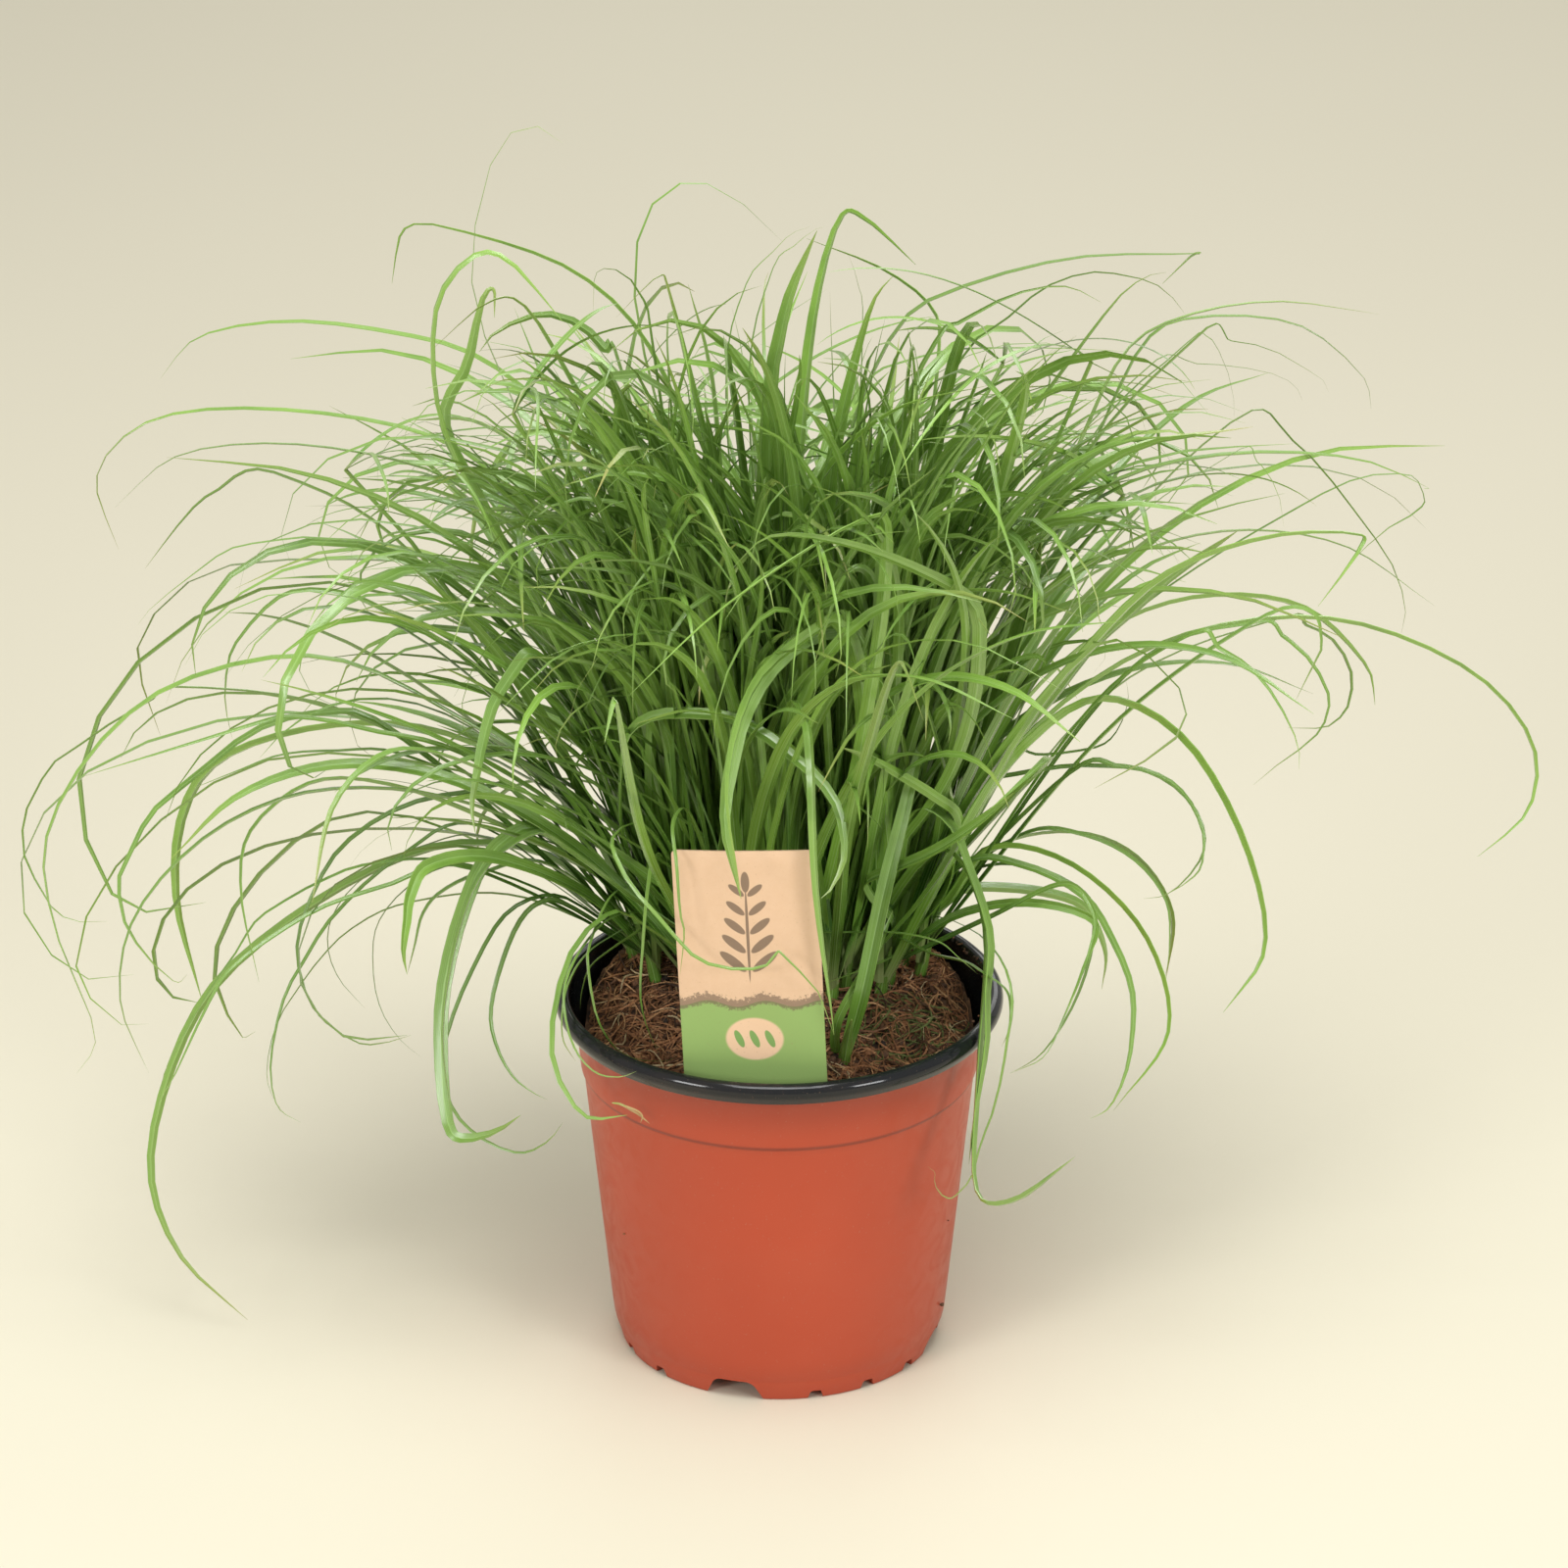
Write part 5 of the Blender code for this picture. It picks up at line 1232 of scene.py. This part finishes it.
def grow_whorl(draw, bundle, blade, stem, foot, solids):
    """A stem with a whorl of thin leaves at its top."""
    outward, reach = crown_reach(foot)
    heading = outward + draw.gauss(0, 0.4)
    for attempt in range(12):
        lean = math.radians(draw.uniform(1, 10) + reach * draw.uniform(6, 40))
        points = arching_route(draw, foot, heading, lean, math.radians(draw.uniform(4, 28)),
                               draw.uniform(110, 215) * MM, 0.0, 1.5)
        if in_clump(points, 0.8) and clear_of(solids, points):
            break
    else:
        return
    route = smooth_route(points, stem.rows, 2)
    bundle.lay(stem, route, (1.7 - 0.6 * route[1]) * MM, np.array((1.0, 0.0, 0.0)), leaf_tone(draw))
    top = points[-1]
    stem_tilt = math.acos(unit(points[-1] - points[-2])[2])
    for i in range(WHORL_LEAVES):
        turn = 2 * math.pi * (i + draw.uniform(-0.3, 0.3)) / WHORL_LEAVES
        tilt = stem_tilt * 0.5 + math.radians(draw.uniform(18, 55))
        curve = arching_route(draw, top, turn, tilt, math.radians(draw.uniform(30, 90)),
                              draw.uniform(45, 105) * MM, math.radians(draw.gauss(0, 20)), draw.uniform(1.0, 1.8))
        if not in_clump(curve):
            continue
        route = smooth_route(curve, blade.rows, 2)
        up = np.array((-math.cos(turn), -math.sin(turn), 0.6))
        bundle.lay(blade, route, blade_widths(route[1], draw.uniform(1.0, 2.0) * MM, 0.5), up,
                   leaf_tone(draw), draw.random() ** 4 * 0.35, (draw.gauss(0, 0.3), draw.gauss(0, 0.6)))


def drawn_route(foot, depth, seen):
    """Points from a shoot's foot through the places where a drawn leaf is seen, its depth growing to its tip's."""
    spans = [math.dist((foot[0] / MM, 100), seen[0])] + [math.dist(a, b) for a, b in zip(seen, seen[1:])]
    points = [foot + np.array((0, 0, 5 * MM))]
    walked = 0.0
    for (right, high), span in zip(seen, spans):
        walked += span
        behind = foot[1] + (depth * MM - foot[1]) * (walked / sum(spans)) ** 1.2
        points.append(seen_at(right * MM, high * MM, behind))
    return points


def make_shoots(ground, finish):
    """Every shoot of the clump: a sheath, the frame's leaves drawn finer, and the fine leaves beside them."""
    wide = blade_pattern("wide_blade", 4, WIDE_ROWS)
    fine = fine_pattern("fine_blade", FINE_ROWS)
    stem = stem_pattern("stem", 8, STEM_ROWS)
    solids = node_tree_of("pot", "soil", "plant_label")
    names = sorted(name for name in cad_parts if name.startswith("shoot_"))
    grown = {name: node_leaves(name) for name in names}
    feet = {name: sheath_foot(grown[name], ground) for name in names}
    bundles = {name: Bundle() for name in names}
    upright = np.array((0.0, -1.0, 0.2))
    for number, name in enumerate(names):
        draw = random.Random(100 + number)
        bundle = bundles[name]
        foot = feet[name]
        leaves = grown[name]
        top = sum(leaf[3] for leaf in leaves) / len(leaves)
        sheath = smooth_route([foot - np.array((0, 0, 2 * MM)), foot * 0.5 + top * 0.5, top,
                               top + (top - foot) * 0.5], stem.rows, 4)
        bundle.lay(stem, sheath, (3.8 - 3.3 * sheath[1] ** 1.5) * MM, upright, 0.45, 0.1)
        for points, width, up, _ in leaves:
            blade = wide if width > BROAD_LEAF else fine
            route = smooth_route([foot] + points[1:], blade.rows)
            bundle.lay(blade, route, blade_widths(route[1], 1.08 * width), up,
                       min(1.0, leaf_tone(draw) + 0.1), draw.random() ** 3 * 0.3,
                       (0.0, draw.gauss(0, 0.5)))
        grow_fine_leaves(draw, bundle, fine, foot, solids, FINE_LEAVES)
        if number % 3 == 0:
            grow_whorl(draw, bundle, fine, stem, foot, solids)
    draw = random.Random(9)
    for depth, width, tone, seen in DRAWN_LEAVES:
        wanted = np.array((seen[0][0] * 0.6 * MM, CROWN_CENTRE[1] + depth * 0.2 * MM))
        name = min(names, key=lambda n: np.linalg.norm(feet[n][:2] - wanted))
        route = smooth_route(drawn_route(feet[name], depth, seen), wide.rows)
        up = np.array((-math.copysign(1.0, seen[-1][0]), 0.0, 0.4))
        widths = blade_widths(route[1], 1.08 * width * MM, 0.7, 9.0 if width > 2.5 else 4.5)
        tone -= 0.25 * (width < 2)
        bundles[name].lay(wide, route, widths, up, tone, 0.1, (draw.gauss(0, 0.4), draw.gauss(0, 0.5)))
    for width, tone, dryness, seen in FRONT_LEAVES:
        points = [seen_at(right * MM, high * MM, behind * MM) for right, high, behind in seen]
        name = min(names, key=lambda n: np.linalg.norm(feet[n][:2] - points[0][:2]))
        points.insert(0, feet[name] + np.array((0, 0, 4 * MM)))
        route = smooth_route(points, wide.rows)
        bundles[name].lay(wide, route, blade_widths(route[1], width * MM), upright, tone, dryness,
                          (draw.gauss(0, 0.3), draw.gauss(0, 0.3)))
    for width, seen in DRY_TIPS:
        points = [seen_at(right * MM, high * MM, behind * MM) for right, high, behind in seen]
        route = smooth_route(points, fine.rows)
        bundles["shoot_54"].lay(fine, route, blade_widths(route[1], width * MM, 0.4), upright, 0.9, 2.0)
    for name in names:
        finished(bundles[name].piece("sedge_" + name, finish, "blade_map"), "sedge_leaf", name)


# The studio

def make_floor():
    """A plain pale floor."""
    floor = start(bpy.ops.mesh.primitive_plane_add, "floor", size=8)
    made, tree, shader, place = new_material("pale_floor", 0.7)
    cloud = new_node(tree, "TexNoise", inputs={"Vector": place, "Scale": 1.5, "Detail": 2.0}).outputs["Fac"]
    tree.links.new(blended(tree, cloud, (0.68, 0.64, 0.50), (0.72, 0.68, 0.54)), shader.inputs["Base Color"])
    floor.data.materials.append(made)


def add_light(name, place, aim, size, power, colour=(1, 1, 1)):
    """A square soft light aimed at a place."""
    light = bpy.data.lights.new(name, "AREA")
    light.size = size
    light.energy = power
    light.color = colour
    made = bpy.data.objects.new(name, light)
    made.location = place
    made.rotation_euler = (Vector(aim) - Vector(place)).to_track_quat("-Z", "Y").to_euler()
    bpy.context.collection.objects.link(made)


def make_studio():
    """Floor, soft lights all round and the camera."""
    make_floor()
    aim = (0, 0, 0.16)
    add_light("overhead_softbox", (0.0, -0.4, 1.45), aim, 0.8, 17)
    add_light("left_softbox", (-1.3, -1.3, 0.8), aim, 0.5, 12)
    add_light("right_softbox", (1.3, -1.3, 0.8), aim, 0.5, 11)
    add_light("back_softbox", (0.2, 1.6, 1.2), aim, 0.9, 5)
    world = bpy.data.worlds.new("studio_air")
    world.use_nodes = True
    world.node_tree.nodes["Background"].inputs["Color"].default_value = (1.0, 0.985, 0.94, 1)
    world.node_tree.nodes["Background"].inputs["Strength"].default_value = 0.48
    bpy.context.scene.world = world
    camera = bpy.data.cameras.new("camera")
    camera.lens = LENS
    camera.clip_end = 20
    made = bpy.data.objects.new("camera", camera)
    made.location = EYE_AIM + Vector((0, -math.cos(EYE_TILT), math.sin(EYE_TILT))) * EYE_DISTANCE
    made.rotation_euler = (math.pi / 2 - EYE_TILT, 0, 0)
    bpy.context.collection.objects.link(made)
    bpy.context.scene.camera = made
    bpy.context.scene.view_settings.view_transform = "Standard"


def main():
    dusting = speckle_group()
    make_pot(plastic_outside(dusting), plastic_inside(dusting))
    ground = node_tree_of("soil")
    make_soil(ground, soil_finish())
    fibre = fibre_finish()
    make_fibres(ground, stem_pattern("strand", 3, STEM_ROWS), fibre)
    make_crumbs(ground, fibre)
    make_label(card_finish(dusting, oval_group()))
    make_shoots(ground, leaf_finish())
    make_studio()


main()
